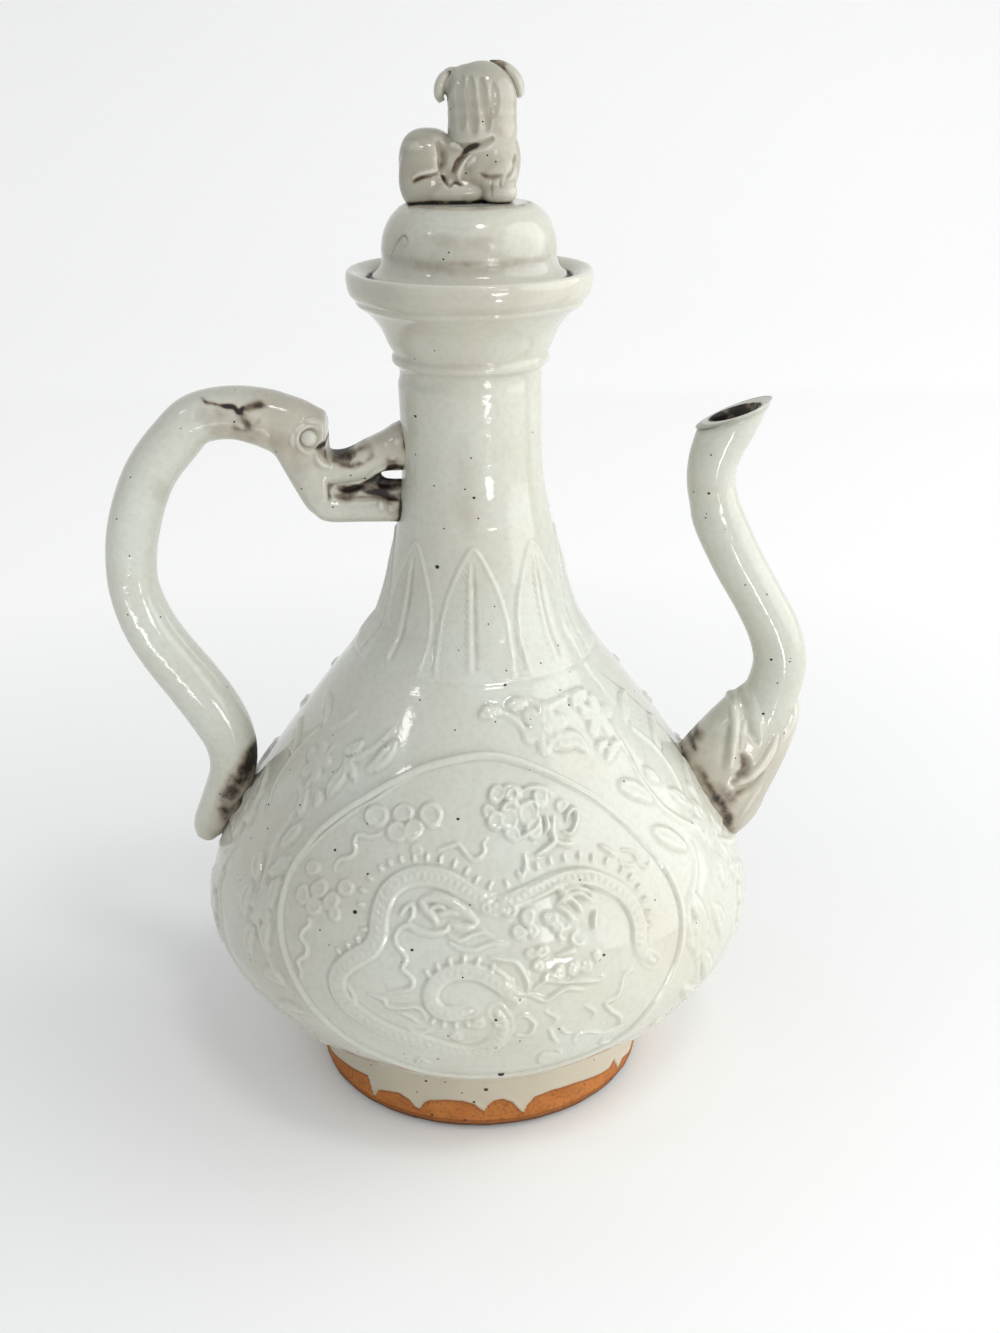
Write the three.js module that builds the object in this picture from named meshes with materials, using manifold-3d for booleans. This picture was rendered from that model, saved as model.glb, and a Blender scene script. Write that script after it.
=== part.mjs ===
// Lidded porcelain ewer: a press-moulded pear body on a turned foot, a neck with a
// cup-shaped mouth, a loop handle ending in a dragon's head that bites the neck,
// an S-shaped spout in a leaf sheath, and a loose lid with a seated lion finial.
// Millimetres, +Z up. The axis of the vessel is vertical, the handle is on -X,
// the spout on +X and the dragon panel faces -Y. The origin lies on the table
// under the middle of the ewer's width.
import * as THREE from 'three';
import { mergeVertices } from 'three/addons/utils/BufferGeometryUtils.js';
import Module from 'manifold-3d';

const wasm = await Module();
wasm.setup();

// Driving dimensions: clay walls and joints
const jointGap = 0.3;          // slip film between luted pieces that meet on a curve
const bodyWall = 5;
const neckWall = 4.5;
const cutOverrun = 20;         // how far a cutting shape runs past what it cuts
const mergeDistance = 1e-4;    // closer corners than this are one corner

// Foot
const footHeight = 18;
const footRadius = 51.5;
const footWall = 7.5;
const footChamfer = 1.2;
const baseThickness = 6;
const baseSeatWidth = 4;       // how far the body's floor reaches in over the base disc

// Body
const bodyHeight = 122;
const bodyBottomRadius = 53;
const bellyRise = 44;          // from the foot joint up to the widest place
const bellyRadius = 83.8;
const shoulderRadius = 36.1;

// Moulded panel on each side of the body: the panel's own field, and its border
const panelHalfWidth = 56;
const panelHeight = 96;
const panelBottomRise = 10.4;  // from the foot joint up to the panel's lowest point
const panelRaise = 0.6;
const panelBorderWidth = 3;
const panelBorderRaise = 1.2;

// Ornament cast with the body: heights above its ground, and widths
const dragonRaise = 1.25;
const dragonWidth = 5.4;
const cloudRaise = 0.9;
const cloudWidth = 7.5;
const leafRaise = 1;
const leafWidth = 5.4;
const flowerWidth = 9.6;

// Neck and mouth
const neckHeight = 81;
const neckRadius = 20.2;
const mouthHeight = 29;
const lipRadius = 34.6;
const throatRadius = 20.5;
const seatDepth = 2.5;         // from the lip down to the ledge that carries the lid
const seatClearance = 1.3;

// Lid
const lidFlangeRadius = 27.1;
const lidFlangeThickness = 3.2;
const lidHeight = 20;          // from the ledge up to the flat that carries the lion
const lidDomeRadius = 24.4;
const lidFlatRadius = 17.5;
const lidWall = 4.2;
const bezelRadius = 17.5;
const bezelWall = 4;
const bezelDepth = 12;

// Handle
const handleRise = 69.4;       // from the shoulder up to the middle of the strap's top
const handleDrop = 60;         // from the shoulder down to the middle of the tail
const handleStandOff = 17.5;   // from the belly out to the middle of the strap
const strapThickness = 15.8;
const strapWidth = 16;

// Dragon's head at the handle's upper end
const headLength = 37;         // from the neck's surface back to the strap
const headHeight = 31;
const headWidth = 19;
const headDrop = 18;           // from the strap's top line down to the head's middle
const biteHoleLength = 5;
const biteHoleHeight = 3.4;
const eyeRadius = 2.6;

// Spout
const spoutReach = 9.2;        // from the belly out to the middle of the tube
const spoutRise = 74.5;        // from the shoulder up to the end of the tube's course
const spoutDrop = 49.4;        // from the shoulder down to the tube's root
const spoutRadius = 8;
const spoutWall = 3.2;
const lipCutRise = 68.3;       // from the shoulder up to the middle of the slanted lip
const lipCutTilt = 23.8;       // degrees
const sheathThickness = 4;

// Lion finial
const lionLength = 35;
const lionWidth = 20;
const lionHeight = 36;
const lionSide = -2.1;         // the lion sits a little towards the handle

// Mesh fineness
const bodySides = 44;
const lidSides = 36;
const strapSides = 12;
const strapSteps = 26;
const spoutSides = 12;
const spoutSteps = 24;
const headSides = 10;
const figureSides = 10;
const figureRings = 7;
const bodySteps = 17;
const reliefSides = 6;
const reliefSteps = 1.5;       // rings for each place along a form
const neckSteps = 8;

// Heights worked out from the sizes above
const shoulderZ = footHeight + bodyHeight;
const neckTopZ = shoulderZ + neckHeight;
const lipZ = neckTopZ + mouthHeight;
const seatZ = lipZ - seatDepth;
const lidTopZ = seatZ + lidHeight;
const seatRadius = lidFlangeRadius + seatClearance;
const neckBore = neckRadius - neckWall;

// Materials
const glaze = { color: 0xc9ccc0, roughness: 0.22, metalness: 0 };
const stainedGlaze = { color: 0xb5b3a4, roughness: 0.3, metalness: 0 };
const bareClay = { color: 0xb9743e, roughness: 0.85, metalness: 0 };

// Mesh and solid helpers

// A closed mesh becomes a solid once its shared vertices are merged.
function toSolid(geometry) {
  const bare = geometry.clone();
  bare.deleteAttribute('normal');
  bare.deleteAttribute('uv');
  const merged = mergeVertices(bare, mergeDistance);
  const corners = merged.index.array;
  const kept = [];
  for (let i = 0; i < corners.length; i += 3) {
    const [a, b, c] = [corners[i], corners[i + 1], corners[i + 2]];
    if (a !== b && b !== c && a !== c) kept.push(a, b, c);
  }
  const vertProperties = new Float32Array(merged.attributes.position.array);
  return new wasm.Manifold(
    new wasm.Mesh({ numProp: 3, vertProperties, triVerts: new Uint32Array(kept) }));
}

function toGeometry(solid) {
  const mesh = solid.getMesh();
  const geometry = new THREE.BufferGeometry();
  geometry.setAttribute('position', new THREE.BufferAttribute(mesh.vertProperties, 3));
  geometry.setIndex(new THREE.BufferAttribute(mesh.triVerts, 1));
  geometry.computeVertexNormals();
  return geometry;
}

// Points are [radius, height]; a closed outline runs up the outside first.
function turned(points, sides, closed = true) {
  const outline = points.map(([radius, height]) => new THREE.Vector2(radius, height));
  if (closed) outline.push(outline[0].clone());
  return toSolid(new THREE.LatheGeometry(outline, sides).rotateX(Math.PI / 2));
}

// A smooth open curve through [radius, height] points.
function smooth(points, count) {
  const curve = new THREE.SplineCurve(points.map(([x, y]) => new THREE.Vector2(x, y)));
  return curve.getPoints(count).map((point) => [point.x, point.y]);
}

// The same curve moved sideways, to the right of its direction of travel.
function offset(points, distance) {
  return points.map((point, i) => {
    const before = points[Math.max(i - 1, 0)];
    const after = points[Math.min(i + 1, points.length - 1)];
    const run = Math.hypot(after[0] - before[0], after[1] - before[1]);
    const right = [(after[1] - before[1]) / run, -(after[0] - before[0]) / run];
    return [point[0] + right[0] * distance, point[1] + right[1] * distance];
  });
}

const everySecond = (points) => points.filter((point, i) => i % 2 === 0);

// The radius of an outline at a height.
function radiusAt(points, height) {
  for (let i = 1; i < points.length; i += 1) {
    const [low, high] = [points[i - 1], points[i]];
    if (height <= high[1]) {
      const share = Math.max((height - low[1]) / (high[1] - low[1]), 0);
      return low[0] + share * (high[0] - low[0]);
    }
  }
  return points[points.length - 1][0];
}

// A closed skin over rings of points, with a flat end on the first and last ring.
function skin(rings) {
  const sides = rings[0].length;
  const positions = rings.flat().flatMap((point) => [point.x, point.y, point.z]);
  const index = [];
  for (let i = 0; i + 1 < rings.length; i += 1) {
    for (let j = 0; j < sides; j += 1) {
      const [a, b] = [i * sides + j, i * sides + (j + 1) % sides];
      index.push(a, b, b + sides, a, b + sides, a + sides);
    }
  }
  [rings[0], rings[rings.length - 1]].forEach((ring, end) => {
    const middle = new THREE.Vector3();
    ring.forEach((point) => middle.add(point));
    middle.divideScalar(sides);
    const hub = positions.length / 3;
    positions.push(middle.x, middle.y, middle.z);
    const first = end === 0 ? 0 : (rings.length - 1) * sides;
    for (let j = 0; j < sides; j += 1) {
      const [a, b] = [first + j, first + (j + 1) % sides];
      index.push(...(end === 0 ? [b, a, hub] : [a, b, hub]));
    }
  });
  const geometry = new THREE.BufferGeometry();
  geometry.setAttribute('position', new THREE.Float32BufferAttribute(positions, 3));
  geometry.setIndex(index);
  return toSolid(geometry);
}

// A bar swept in the plane of the handle and spout. Each station is
// [x, z, half thickness in that plane, half width across it].
function sweptBar(stations, steps, sides) {
  const course = new THREE.CatmullRomCurve3(
    stations.map(([x, z]) => new THREE.Vector3(x, 0, z)), false, 'centripetal');
  const rings = [];
  const across = new THREE.Vector3(0, -1, 0);
  for (let i = 0; i <= steps; i += 1) {
    const along = i / steps;
    const place = along * (stations.length - 1);
    const low = Math.min(Math.floor(place), stations.length - 2);
    const share = place - low;
    const mix = (k) => stations[low][k] * (1 - share) + stations[low + 1][k] * share;
    const centre = course.getPoint(along);
    const ahead = course.getTangent(along);
    const side = new THREE.Vector3(-ahead.z, 0, ahead.x);
    const ring = [];
    for (let j = 0; j < sides; j += 1) {
      const turn = (j / sides) * 2 * Math.PI;
      ring.push(centre.clone()
        .addScaledVector(side, mix(2) * Math.cos(turn))
        .addScaledVector(across, mix(3) * Math.sin(turn)));
    }
    rings.push(ring);
  }
  return skin(rings);
}

// A bar whose sections all stand square to X. Each station is
// [x, middle height, half height, half width].
function standingBar(stations, sides) {
  const rings = stations.map(([x, z, halfHeight, halfWidth]) => {
    const ring = [];
    for (let j = 0; j < sides; j += 1) {
      const turn = ((j + 1 / 2) / sides) * 2 * Math.PI;
      ring.push(new THREE.Vector3(
        x, -halfWidth * Math.sin(turn), z + halfHeight * Math.cos(turn)));
    }
    return ring;
  });
  return skin(rings);
}

// An egg-shaped lump at [x, y, z] with half sizes [a, b, c], tilted about Y.
function lump(centre, half, tiltDegrees = 0) {
  const geometry = new THREE.SphereGeometry(1, figureSides, figureRings);
  geometry.rotateX(Math.PI / 2);
  geometry.scale(...half);
  geometry.rotateY(THREE.MathUtils.degToRad(tiltDegrees));
  geometry.translate(...centre);
  return toSolid(geometry);
}

function block(low, high) {
  const size = high.map((value, axis) => value - low[axis]);
  const geometry = new THREE.BoxGeometry(...size);
  geometry.translate(...low.map((value, axis) => value + size[axis] / 2));
  return toSolid(geometry);
}

const joined = (solids) => solids.reduce((sum, solid) => sum.add(solid));

// Outlines of the turned forms

// Height and width between the foot joint and the widest place.
const lowerBodyShares = [
  [0, 0], [0.091, 0.162], [0.182, 0.318], [0.273, 0.455], [0.455, 0.682],
  [0.727, 0.932], [1, 1]];
// Height and width between the widest place and the shoulder.
const upperBodyShares = [
  [0.179, 0.937], [0.359, 0.761], [0.538, 0.564], [0.718, 0.354], [0.872, 0.168], [1, 0]];
// Height and width between the shoulder and the top of the neck.
const neckShares = [
  [0, 1], [0.123, 0.655], [0.272, 0.367], [0.444, 0.172], [0.642, 0.022], [0.802, 0], [1, 0]];
// Height and width between the top of the neck and the lip.
const mouthShares = [
  [0, 0.02], [0.1, 0.06], [0.155, 0.15], [0.26, 0.235], [0.36, 0.245], [0.46, 0.36],
  [0.54, 0.47], [0.61, 0.61], [0.69, 0.79], [0.76, 0.89], [0.86, 0.945], [0.95, 1], [1, 0.975]];

const bellyZ = footHeight + bellyRise;
const bodyOutline = smooth([
  ...lowerBodyShares.map(([up, out]) => [
    bodyBottomRadius + out * (bellyRadius - bodyBottomRadius), footHeight + up * bellyRise]),
  ...upperBodyShares.map(([up, out]) => [
    shoulderRadius + out * (bellyRadius - shoulderRadius),
    bellyZ + up * (shoulderZ - bellyZ)]),
], bodySteps);
const neckOutline = smooth(neckShares.map(([up, out]) => [
  neckRadius + out * (shoulderRadius - neckRadius), shoulderZ + up * neckHeight]), neckSteps);
const mouthOutline = mouthShares.map(([up, out]) => [
  neckRadius + out * (lipRadius - neckRadius), neckTopZ + up * mouthHeight]);

// Body and neck as one filled shape, grown by the joint gap: what is luted to
// them on a curve is cut by it.
const vesselOutline = [...bodyOutline, ...neckOutline.slice(1), ...mouthOutline.slice(1)];
const vesselKeepOut = turned(
  [[0, footHeight], ...offset(vesselOutline, jointGap), [0, lipZ]], bodySides, false);
const surfaceRadius = (height) => radiusAt(vesselOutline, height);

// Foot and base

function makeFootRing() {
  const inner = footRadius - footWall;
  return turned([
    [footRadius - footChamfer, 0], [footRadius, footChamfer], [footRadius, footHeight],
    [inner, footHeight], [inner, footChamfer], [inner + footChamfer, 0]], bodySides);
}

function makeBaseDisc() {
  const radius = footRadius - footWall - jointGap;
  const low = footHeight - baseThickness;
  return turned([[0, low], [radius, low], [radius, footHeight], [0, footHeight]],
    bodySides, false);
}

// Body halves

// One half of the ogee panel's edge, from its apex down to its lowest point:
// shares of the half width and of the height.
const panelEdgeShares = [
  [0, 1], [0.14, 0.98], [0.28, 0.955], [0.455, 0.897], [0.6, 0.829], [0.74, 0.751],
  [0.866, 0.658], [0.955, 0.58], [1, 0.508], [0.996, 0.425], [0.946, 0.331],
  [0.884, 0.248], [0.76, 0.145], [0.625, 0.085], [0.464, 0.046], [0.214, 0.012], [0, 0]];

function panelPrism(inset) {
  const low = footHeight + panelBottomRise + inset;
  const height = panelHeight - 2 * inset;
  const edge = panelEdgeShares.map(([out, up]) => [
    out * (panelHalfWidth - inset), low + up * height]);
  const mirrored = edge.slice(1, -1).reverse().map(([x, z]) => [-x, z]);
  const shape = new THREE.Shape(
    [...edge, ...mirrored].map(([x, z]) => new THREE.Vector2(x, z)));
  const depth = bellyRadius + cutOverrun;
  const geometry = new THREE.ExtrudeGeometry(shape, { depth, bevelEnabled: false, steps: 1 });
  geometry.rotateX(Math.PI / 2);
  return toSolid(geometry);
}

function bodyShell(raise) {
  const outside = raise > 0 ? offset(bodyOutline, raise) : bodyOutline;
  const inside = everySecond(offset(bodyOutline, -bodyWall)).filter(
    ([, height]) => height > footHeight + bodyWall && height < shoulderZ);
  const floorRadius = footRadius - footWall - baseSeatWidth;
  return turned([
    ...outside,
    [shoulderRadius - bodyWall, outside[outside.length - 1][1]],
    ...inside.reverse(),
    [floorRadius, footHeight + bodyWall],
    [floorRadius, outside[0][1]],
  ], bodySides);
}

// The main forms of the cast ornament. Each is a row of places along the form:
// shares of a quarter turn, from the panel's middle towards the spout, and of
// the body's height. Its last number is its width, as a share of its kind's.
const dragonShares = [
  [[[0.07, 0.578], [0.009, 0.602], [-0.063, 0.634], [-0.147, 0.64], [-0.214, 0.607],
    [-0.228, 0.549], [-0.237, 0.492], [-0.299, 0.432], [-0.289, 0.367], [-0.214, 0.32],
    [-0.121, 0.293], [-0.02, 0.262], [0.049, 0.314], [0.038, 0.376]], 1],
  [[[0.032, 0.585], [0.133, 0.608], [0.234, 0.623], [0.322, 0.6], [0.38, 0.538],
    [0.373, 0.468], [0.401, 0.412]], 0.9],
  [[[0.082, 0.394], [0.038, 0.443], [-0.032, 0.466], [-0.091, 0.434], [-0.087, 0.383],
    [-0.016, 0.378]], 0.8],
  [[[-0.17, 0.55], [-0.11, 0.57], [-0.04, 0.566], [0.006, 0.556]], 1.6],
  [[[0.2, 0.598], [0.255, 0.589], [0.3, 0.572]], 1.1],
];
const cloudShares = [
  [[[-0.31, 0.738], [-0.222, 0.745], [-0.13, 0.75]], 1],
  [[[-0.45, 0.575], [-0.39, 0.575], [-0.33, 0.59]], 1],
  [[[0.05, 0.775], [0.13, 0.782], [0.22, 0.775]], 1],
  [[[0.06, 0.735], [0.11, 0.73], [0.19, 0.72]], 1],
  [[[0.141, 0.5], [0.135, 0.462], [0.173, 0.448], [0.25, 0.465]], 0.55],
];
const leafShares = [
  [[[-0.307, 0.881], [-0.398, 0.816]], 0.85], [[[-0.493, 0.74], [-0.488, 0.816]], 0.93],
  [[[-0.568, 0.683], [-0.591, 0.737]], 0.74], [[[-0.547, 0.673], [-0.59, 0.613]], 0.81],
  [[[-0.659, 0.581], [-0.611, 0.531]], 1], [[[-0.53, 0.607], [-0.526, 0.496]], 0.93],
  [[[-0.631, 0.514], [-0.609, 0.448]], 1.1], [[[-0.514, 0.473], [-0.504, 0.405]], 0.93],
  [[[-0.571, 0.443], [-0.564, 0.369]], 1.1], [[[-0.451, 0.341], [-0.527, 0.341]], 0.85],
  [[[-0.407, 0.281], [-0.502, 0.258]], 0.78], [[[0.271, 0.874], [0.436, 0.839]], 1.15],
  [[[0.44, 0.932], [0.569, 0.948]], 0.85], [[[0.483, 0.76], [0.594, 0.697]], 1.1],
  [[[0.532, 0.656], [0.637, 0.58]], 1.15], [[[0.571, 0.512], [0.59, 0.41]], 0.96],
  [[[0.746, 0.52], [0.721, 0.449]], 1.2], [[[0.638, 0.448], [0.66, 0.348]], 1.1],
  [[[0.559, 0.376], [0.64, 0.235]], 0.96], [[[0.5, 0.302], [0.576, 0.193]], 0.85],
];
const flowerShares = [
  [[[-0.65, 0.789], [-0.59, 0.789]], 0.96], [[[0.255, 0.905], [0.321, 0.905]], 1.1],
  [[[0.51, 0.895], [0.592, 0.895]], 1.04],
];

const reliefEndShare = 0.4;    // of a form's width and height, left at its two ends
const reliefFullness = 3;      // how soon it grows to its full size from there
const reliefTopShare = Math.sin(Math.PI / 3);  // height of a six-sided section's flat top

// A place on the body, raised along the surface's normal.
function onBody(turn, up, raise) {
  const z = footHeight + up * bodyHeight;
  const lean = (surfaceRadius(z + bodyWall) - surfaceRadius(z - bodyWall)) / (2 * bodyWall);
  const length = Math.hypot(1, lean);
  const radius = surfaceRadius(z) + raise / length;
  const angle = turn * Math.PI / 2;
  return new THREE.Vector3(
    radius * Math.sin(angle), -radius * Math.cos(angle), z - raise * lean / length);
}

// A form laid on the body, with its lower half buried in the wall.
function reliefBar(shares, width, raise, ground) {
  const course = new THREE.SplineCurve(shares.map(([turn, up]) => new THREE.Vector2(turn, up)));
  const steps = Math.max(Math.round((shares.length - 1) * reliefSteps), 2);
  const places = course.getPoints(steps);
  const rings = places.map((place, i) => {
    const size = Math.min(1, reliefEndShare + reliefFullness * Math.sin(Math.PI * i / steps));
    const centre = onBody(place.x, place.y, ground);
    const out = onBody(place.x, place.y, ground + bodyWall).sub(centre).normalize();
    const [before, after] = [places[Math.max(i - 1, 0)], places[Math.min(i + 1, steps)]];
    const ahead = onBody(after.x, after.y, ground).sub(onBody(before.x, before.y, ground));
    const side = out.clone().cross(ahead).normalize();
    return Array.from({ length: reliefSides }, (_, j) => {
      const turn = (j / reliefSides) * 2 * Math.PI;
      return centre.clone()
        .addScaledVector(side, size * width / 2 * Math.cos(turn))
        .addScaledVector(out, size * raise / reliefTopShare * Math.sin(turn));
    });
  });
  return skin(rings);
}

function castOrnament() {
  const laid = (table, width, raise, ground) => table.map(
    ([shares, wide]) => reliefBar(shares, wide * width, raise, ground));
  return joined([
    ...laid(dragonShares, dragonWidth, dragonRaise, panelRaise),
    ...laid(cloudShares, cloudWidth, cloudRaise, panelRaise),
    ...laid(leafShares, leafWidth, leafRaise, 0),
    ...laid(flowerShares, flowerWidth, leafRaise, 0),
  ]);
}

// A half with its panel and the hole for the spout, before the ornament.
function makeBodyHalf(spoutBore) {
  const plain = bodyShell(0);
  const border = bodyShell(panelRaise + panelBorderRaise)
    .intersect(panelPrism(0).subtract(panelPrism(panelBorderWidth)));
  const field = bodyShell(panelRaise).intersect(panelPrism(panelBorderWidth / 2));
  const reach = bellyRadius + cutOverrun;
  const half = block([-reach, -reach, 0], [reach, 0, shoulderZ]);
  return plain.add(border).add(field).subtract(spoutBore).intersect(half);
}

// Neck and mouth

function makeNeck() {
  const inside = everySecond(offset(neckOutline, -neckWall));
  inside[0] = [shoulderRadius - bodyWall, shoulderZ];
  inside[inside.length - 1] = [neckBore, neckTopZ];
  return turned([...neckOutline, ...inside.reverse()], bodySides);
}

// Half way down the throat: shares of its height and of its widening.
const throatMiddleShares = [0.3, 0.42];
const lipFallShare = 0.1;      // how far the lip's top falls towards the lid

function makeMouth() {
  return turned([
    ...mouthOutline,
    [seatRadius, lipZ - (lipRadius - seatRadius) * lipFallShare],
    [seatRadius, seatZ],
    [throatRadius, seatZ],
    [throatRadius - jointGap, seatZ - bezelDepth],
    [neckBore + throatMiddleShares[1] * (throatRadius - neckBore),
      neckTopZ + throatMiddleShares[0] * (seatZ - neckTopZ)],
    [neckBore, neckTopZ],
  ], bodySides);
}

// Handle

// Each station: share of the way from the vessel's surface out to the strap's
// furthest middle, share of the height from the tail to the top of the strap,
// and shares of the strap's thickness and width.
const handleShares = [
  [0.454, 0.985, 1.12, 1.06], [0.59, 1, 1.02, 1.02], [0.723, 0.988, 0.97, 1],
  [0.809, 0.941, 0.96, 1], [0.879, 0.889, 0.96, 1], [0.928, 0.835, 0.96, 1],
  [0.971, 0.76, 0.97, 1], [0.996, 0.688, 0.95, 1], [1, 0.603, 0.93, 1],
  [0.958, 0.519, 0.98, 1.02], [0.874, 0.444, 1.02, 1.04], [0.733, 0.367, 1.06, 1.06],
  [0.5625, 0.29, 1.06, 1.08], [0.39, 0.216, 0.98, 1.1], [0.259, 0.139, 0.9, 1.1],
  [0.215, 0.062, 0.8, 1], [0.215, -0.01, 0.62, 0.72]];
const handleReach = bellyRadius + handleStandOff;
const tailZ = shoulderZ - handleDrop;
const strapTopZ = shoulderZ + handleRise;

function handleStations() {
  return handleShares.map(([out, up, thick, wide]) => {
    const z = tailZ + up * (strapTopZ - tailZ);
    const surface = surfaceRadius(z);
    const x = surface + out * (handleReach - surface);
    return [-x, z, thick * strapThickness / 2, wide * strapWidth / 2];
  });
}

function makeHandle() {
  const stations = handleStations();
  const bar = sweptBar(stations, strapSteps, strapSides);
  const joint = stations[0][0] - jointGap;
  const headSide = block(
    [joint, -strapWidth, shoulderZ], [0, strapWidth, strapTopZ + strapThickness]);
  return bar.subtract(headSide).subtract(vesselKeepOut);
}

// Dragon's head

const headMiddleZ = strapTopZ - headDrop + strapThickness / 2;
// Stations run from the strap forward into the neck: shares of the head's
// length, its height above the middle, its half height and its half width.
const skullShares = [
  [-0.1, 0.31, 0.27, 0.43], [0, 0.25, 0.285, 0.44], [0.06, 0.18, 0.34, 0.46],
  [0.135, 0.08, 0.42, 0.47], [0.25, -0.065, 0.52, 0.5], [0.35, -0.135, 0.52, 0.5],
  [0.42, -0.17, 0.515, 0.47]];
const upperJawShares = [
  [0.32, -0.16, 0.18, 0.42], [0.46, -0.175, 0.15, 0.4], [0.57, -0.16, 0.155, 0.39],
  [0.7, -0.106, 0.18, 0.38], [0.84, -0.01, 0.155, 0.37], [0.97, 0.055, 0.185, 0.39],
  [1.2, 0.09, 0.19, 0.39]];
const lowerJawShares = [
  [0.2, -0.38, 0.14, 0.38], [0.32, -0.49, 0.16, 0.42], [0.42, -0.545, 0.142, 0.37],
  [0.57, -0.56, 0.132, 0.35], [0.73, -0.565, 0.126, 0.34], [0.95, -0.56, 0.132, 0.35],
  [1.2, -0.56, 0.132, 0.35]];
const tongueShares = [
  [0.32, -0.38, 0.12, 0.3], [0.57, -0.37, 0.12, 0.24], [0.73, -0.35, 0.15, 0.19],
  [0.83, -0.37, 0.14, 0.18], [0.9, -0.4, 0.12, 0.18], [1.2, -0.4, 0.12, 0.18]];
const hornShares = [
  [-0.02, 0.5, 0.05, 0.12], [0.12, 0.47, 0.07, 0.16], [0.3, 0.36, 0.08, 0.18],
  [0.435, 0.29, 0.08, 0.2]];
const eyeShare = [0.3, 0.16, 0.44];
const biteHoleShare = -0.245;  // share of the head's height, from its middle

function headStart() {
  return handleStations()[0][0];
}

function headStation([along, up, tall, wide]) {
  const start = headStart();
  return [start + along * headLength, headMiddleZ + up * headHeight,
    tall * headHeight, wide * headWidth];
}

function makeHandleHead(eyes) {
  const parts = [skullShares, upperJawShares, lowerJawShares, tongueShares, hornShares].map(
    (shares) => standingBar(shares.map(headStation), headSides));
  const start = headStart();
  const strapSide = block(
    [start - headLength, -headWidth, shoulderZ],
    [start, headWidth, strapTopZ + headHeight]);
  const neckSurface = -surfaceRadius(headMiddleZ);
  const holeZ = headMiddleZ + biteHoleShare * headHeight;
  const hole = block(
    [neckSurface - biteHoleLength - jointGap, -headWidth, holeZ - biteHoleHeight / 2],
    [neckSurface, headWidth, holeZ + biteHoleHeight / 2]);
  return joined(parts).subtract(strapSide).subtract(hole).subtract(vesselKeepOut)
    .subtract(joined(eyes));
}

function eyeBall(side, radius) {
  const start = headStart();
  const [along, up, out] = eyeShare;
  return lump([start + along * headLength, side * out * headWidth,
    headMiddleZ + up * headHeight], [radius, radius, radius]);
}

// Spout and its sheath

// Each station: share of the way from the vessel's surface out to the tube's
// furthest middle, share of the height from the root to the end, and share of
// the tube's radius.
const spoutShares = [
  [-0.45, -0.09, 1.5], [0.076, 0, 1.5], [0.56, 0.09, 1.31], [0.85, 0.173, 1.12],
  [0.953, 0.252, 1.04], [0.996, 0.33, 1.01], [0.96, 0.407, 0.98], [0.881, 0.491, 0.93],
  [0.783, 0.592, 0.94], [0.706, 0.693, 0.95], [0.685, 0.742, 0.9], [0.674, 0.792, 0.89],
  [0.682, 0.839, 0.91], [0.706, 0.883, 0.95], [0.742, 0.931, 1], [0.791, 1, 1.02]];
const spoutMiddleReach = bellyRadius + spoutReach;
const rootZ = shoulderZ - spoutDrop;
const spoutEndZ = shoulderZ + spoutRise;

function spoutStations(grow) {
  return spoutShares.map(([out, up, wide]) => {
    const z = rootZ + up * (spoutEndZ - rootZ);
    const surface = surfaceRadius(Math.max(z, rootZ));
    const x = surface + out * (spoutMiddleReach - surface);
    return [x, z, wide * spoutRadius + grow, wide * spoutRadius + grow];
  });
}

function makeSpoutBore() {
  return sweptBar(spoutStations(-spoutWall), spoutSteps, spoutSides);
}

function spoutLipCut() {
  const stations = spoutStations(0);
  const end = stations[stations.length - 2];
  const reach = spoutMiddleReach;
  const cutter = new THREE.BoxGeometry(reach, reach, cutOverrun);
  cutter.translate(0, 0, cutOverrun / 2);
  cutter.rotateY(-THREE.MathUtils.degToRad(lipCutTilt));
  cutter.translate(end[0], 0, shoulderZ + lipCutRise);
  return toSolid(cutter);
}

function makeSpout(bore) {
  return sweptBar(spoutStations(0), spoutSteps, spoutSides)
    .subtract(bore).subtract(spoutLipCut()).subtract(vesselKeepOut);
}

// The sheath follows the tube's first stations, grown by these shares of its
// own thickness, and has a rounded cheek on each side.
const sheathShares = [1.3, 1.05, 1.2, 0.88, 0.48, 0.12];
const sheathSteps = 11;
const cheekPlaceShare = 0.33;  // of the sheath's stations, from its root
const cheekShares = [0.62, 0.75, 1.05];   // half sizes, of the sheath's half width
const cheekOutShare = 0.72;
const cheekTilt = 35;          // degrees

function makeSpoutSheath() {
  const stations = spoutStations(0).slice(0, sheathShares.length).map(
    ([x, z, half], i) => {
      const grown = half + sheathShares[i] * sheathThickness;
      return [x, z, grown, grown];
    });
  const [x, z, half] = stations[Math.round(cheekPlaceShare * stations.length)];
  const cheeks = [-1, 1].map((side) => lump([x, side * cheekOutShare * half, z],
    cheekShares.map((share) => share * half * cheekOutShare), cheekTilt));
  const inside = sweptBar(spoutStations(jointGap), spoutSteps, spoutSides);
  return sweptBar(stations, sheathSteps, spoutSides).add(joined(cheeks))
    .subtract(inside).subtract(vesselKeepOut);
}

// Lid

// Height and width shares of the cover's outside above its flange.
const domeShares = [[0.1, 0.93], [0.25, 0.99], [0.4, 1], [0.6, 0.975], [0.75, 0.955],
  [0.88, 0.9], [0.96, 0.8]];
const hollowShares = [[0.1, 0.9], [0.45, 1], [0.75, 0.85]];

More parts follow.
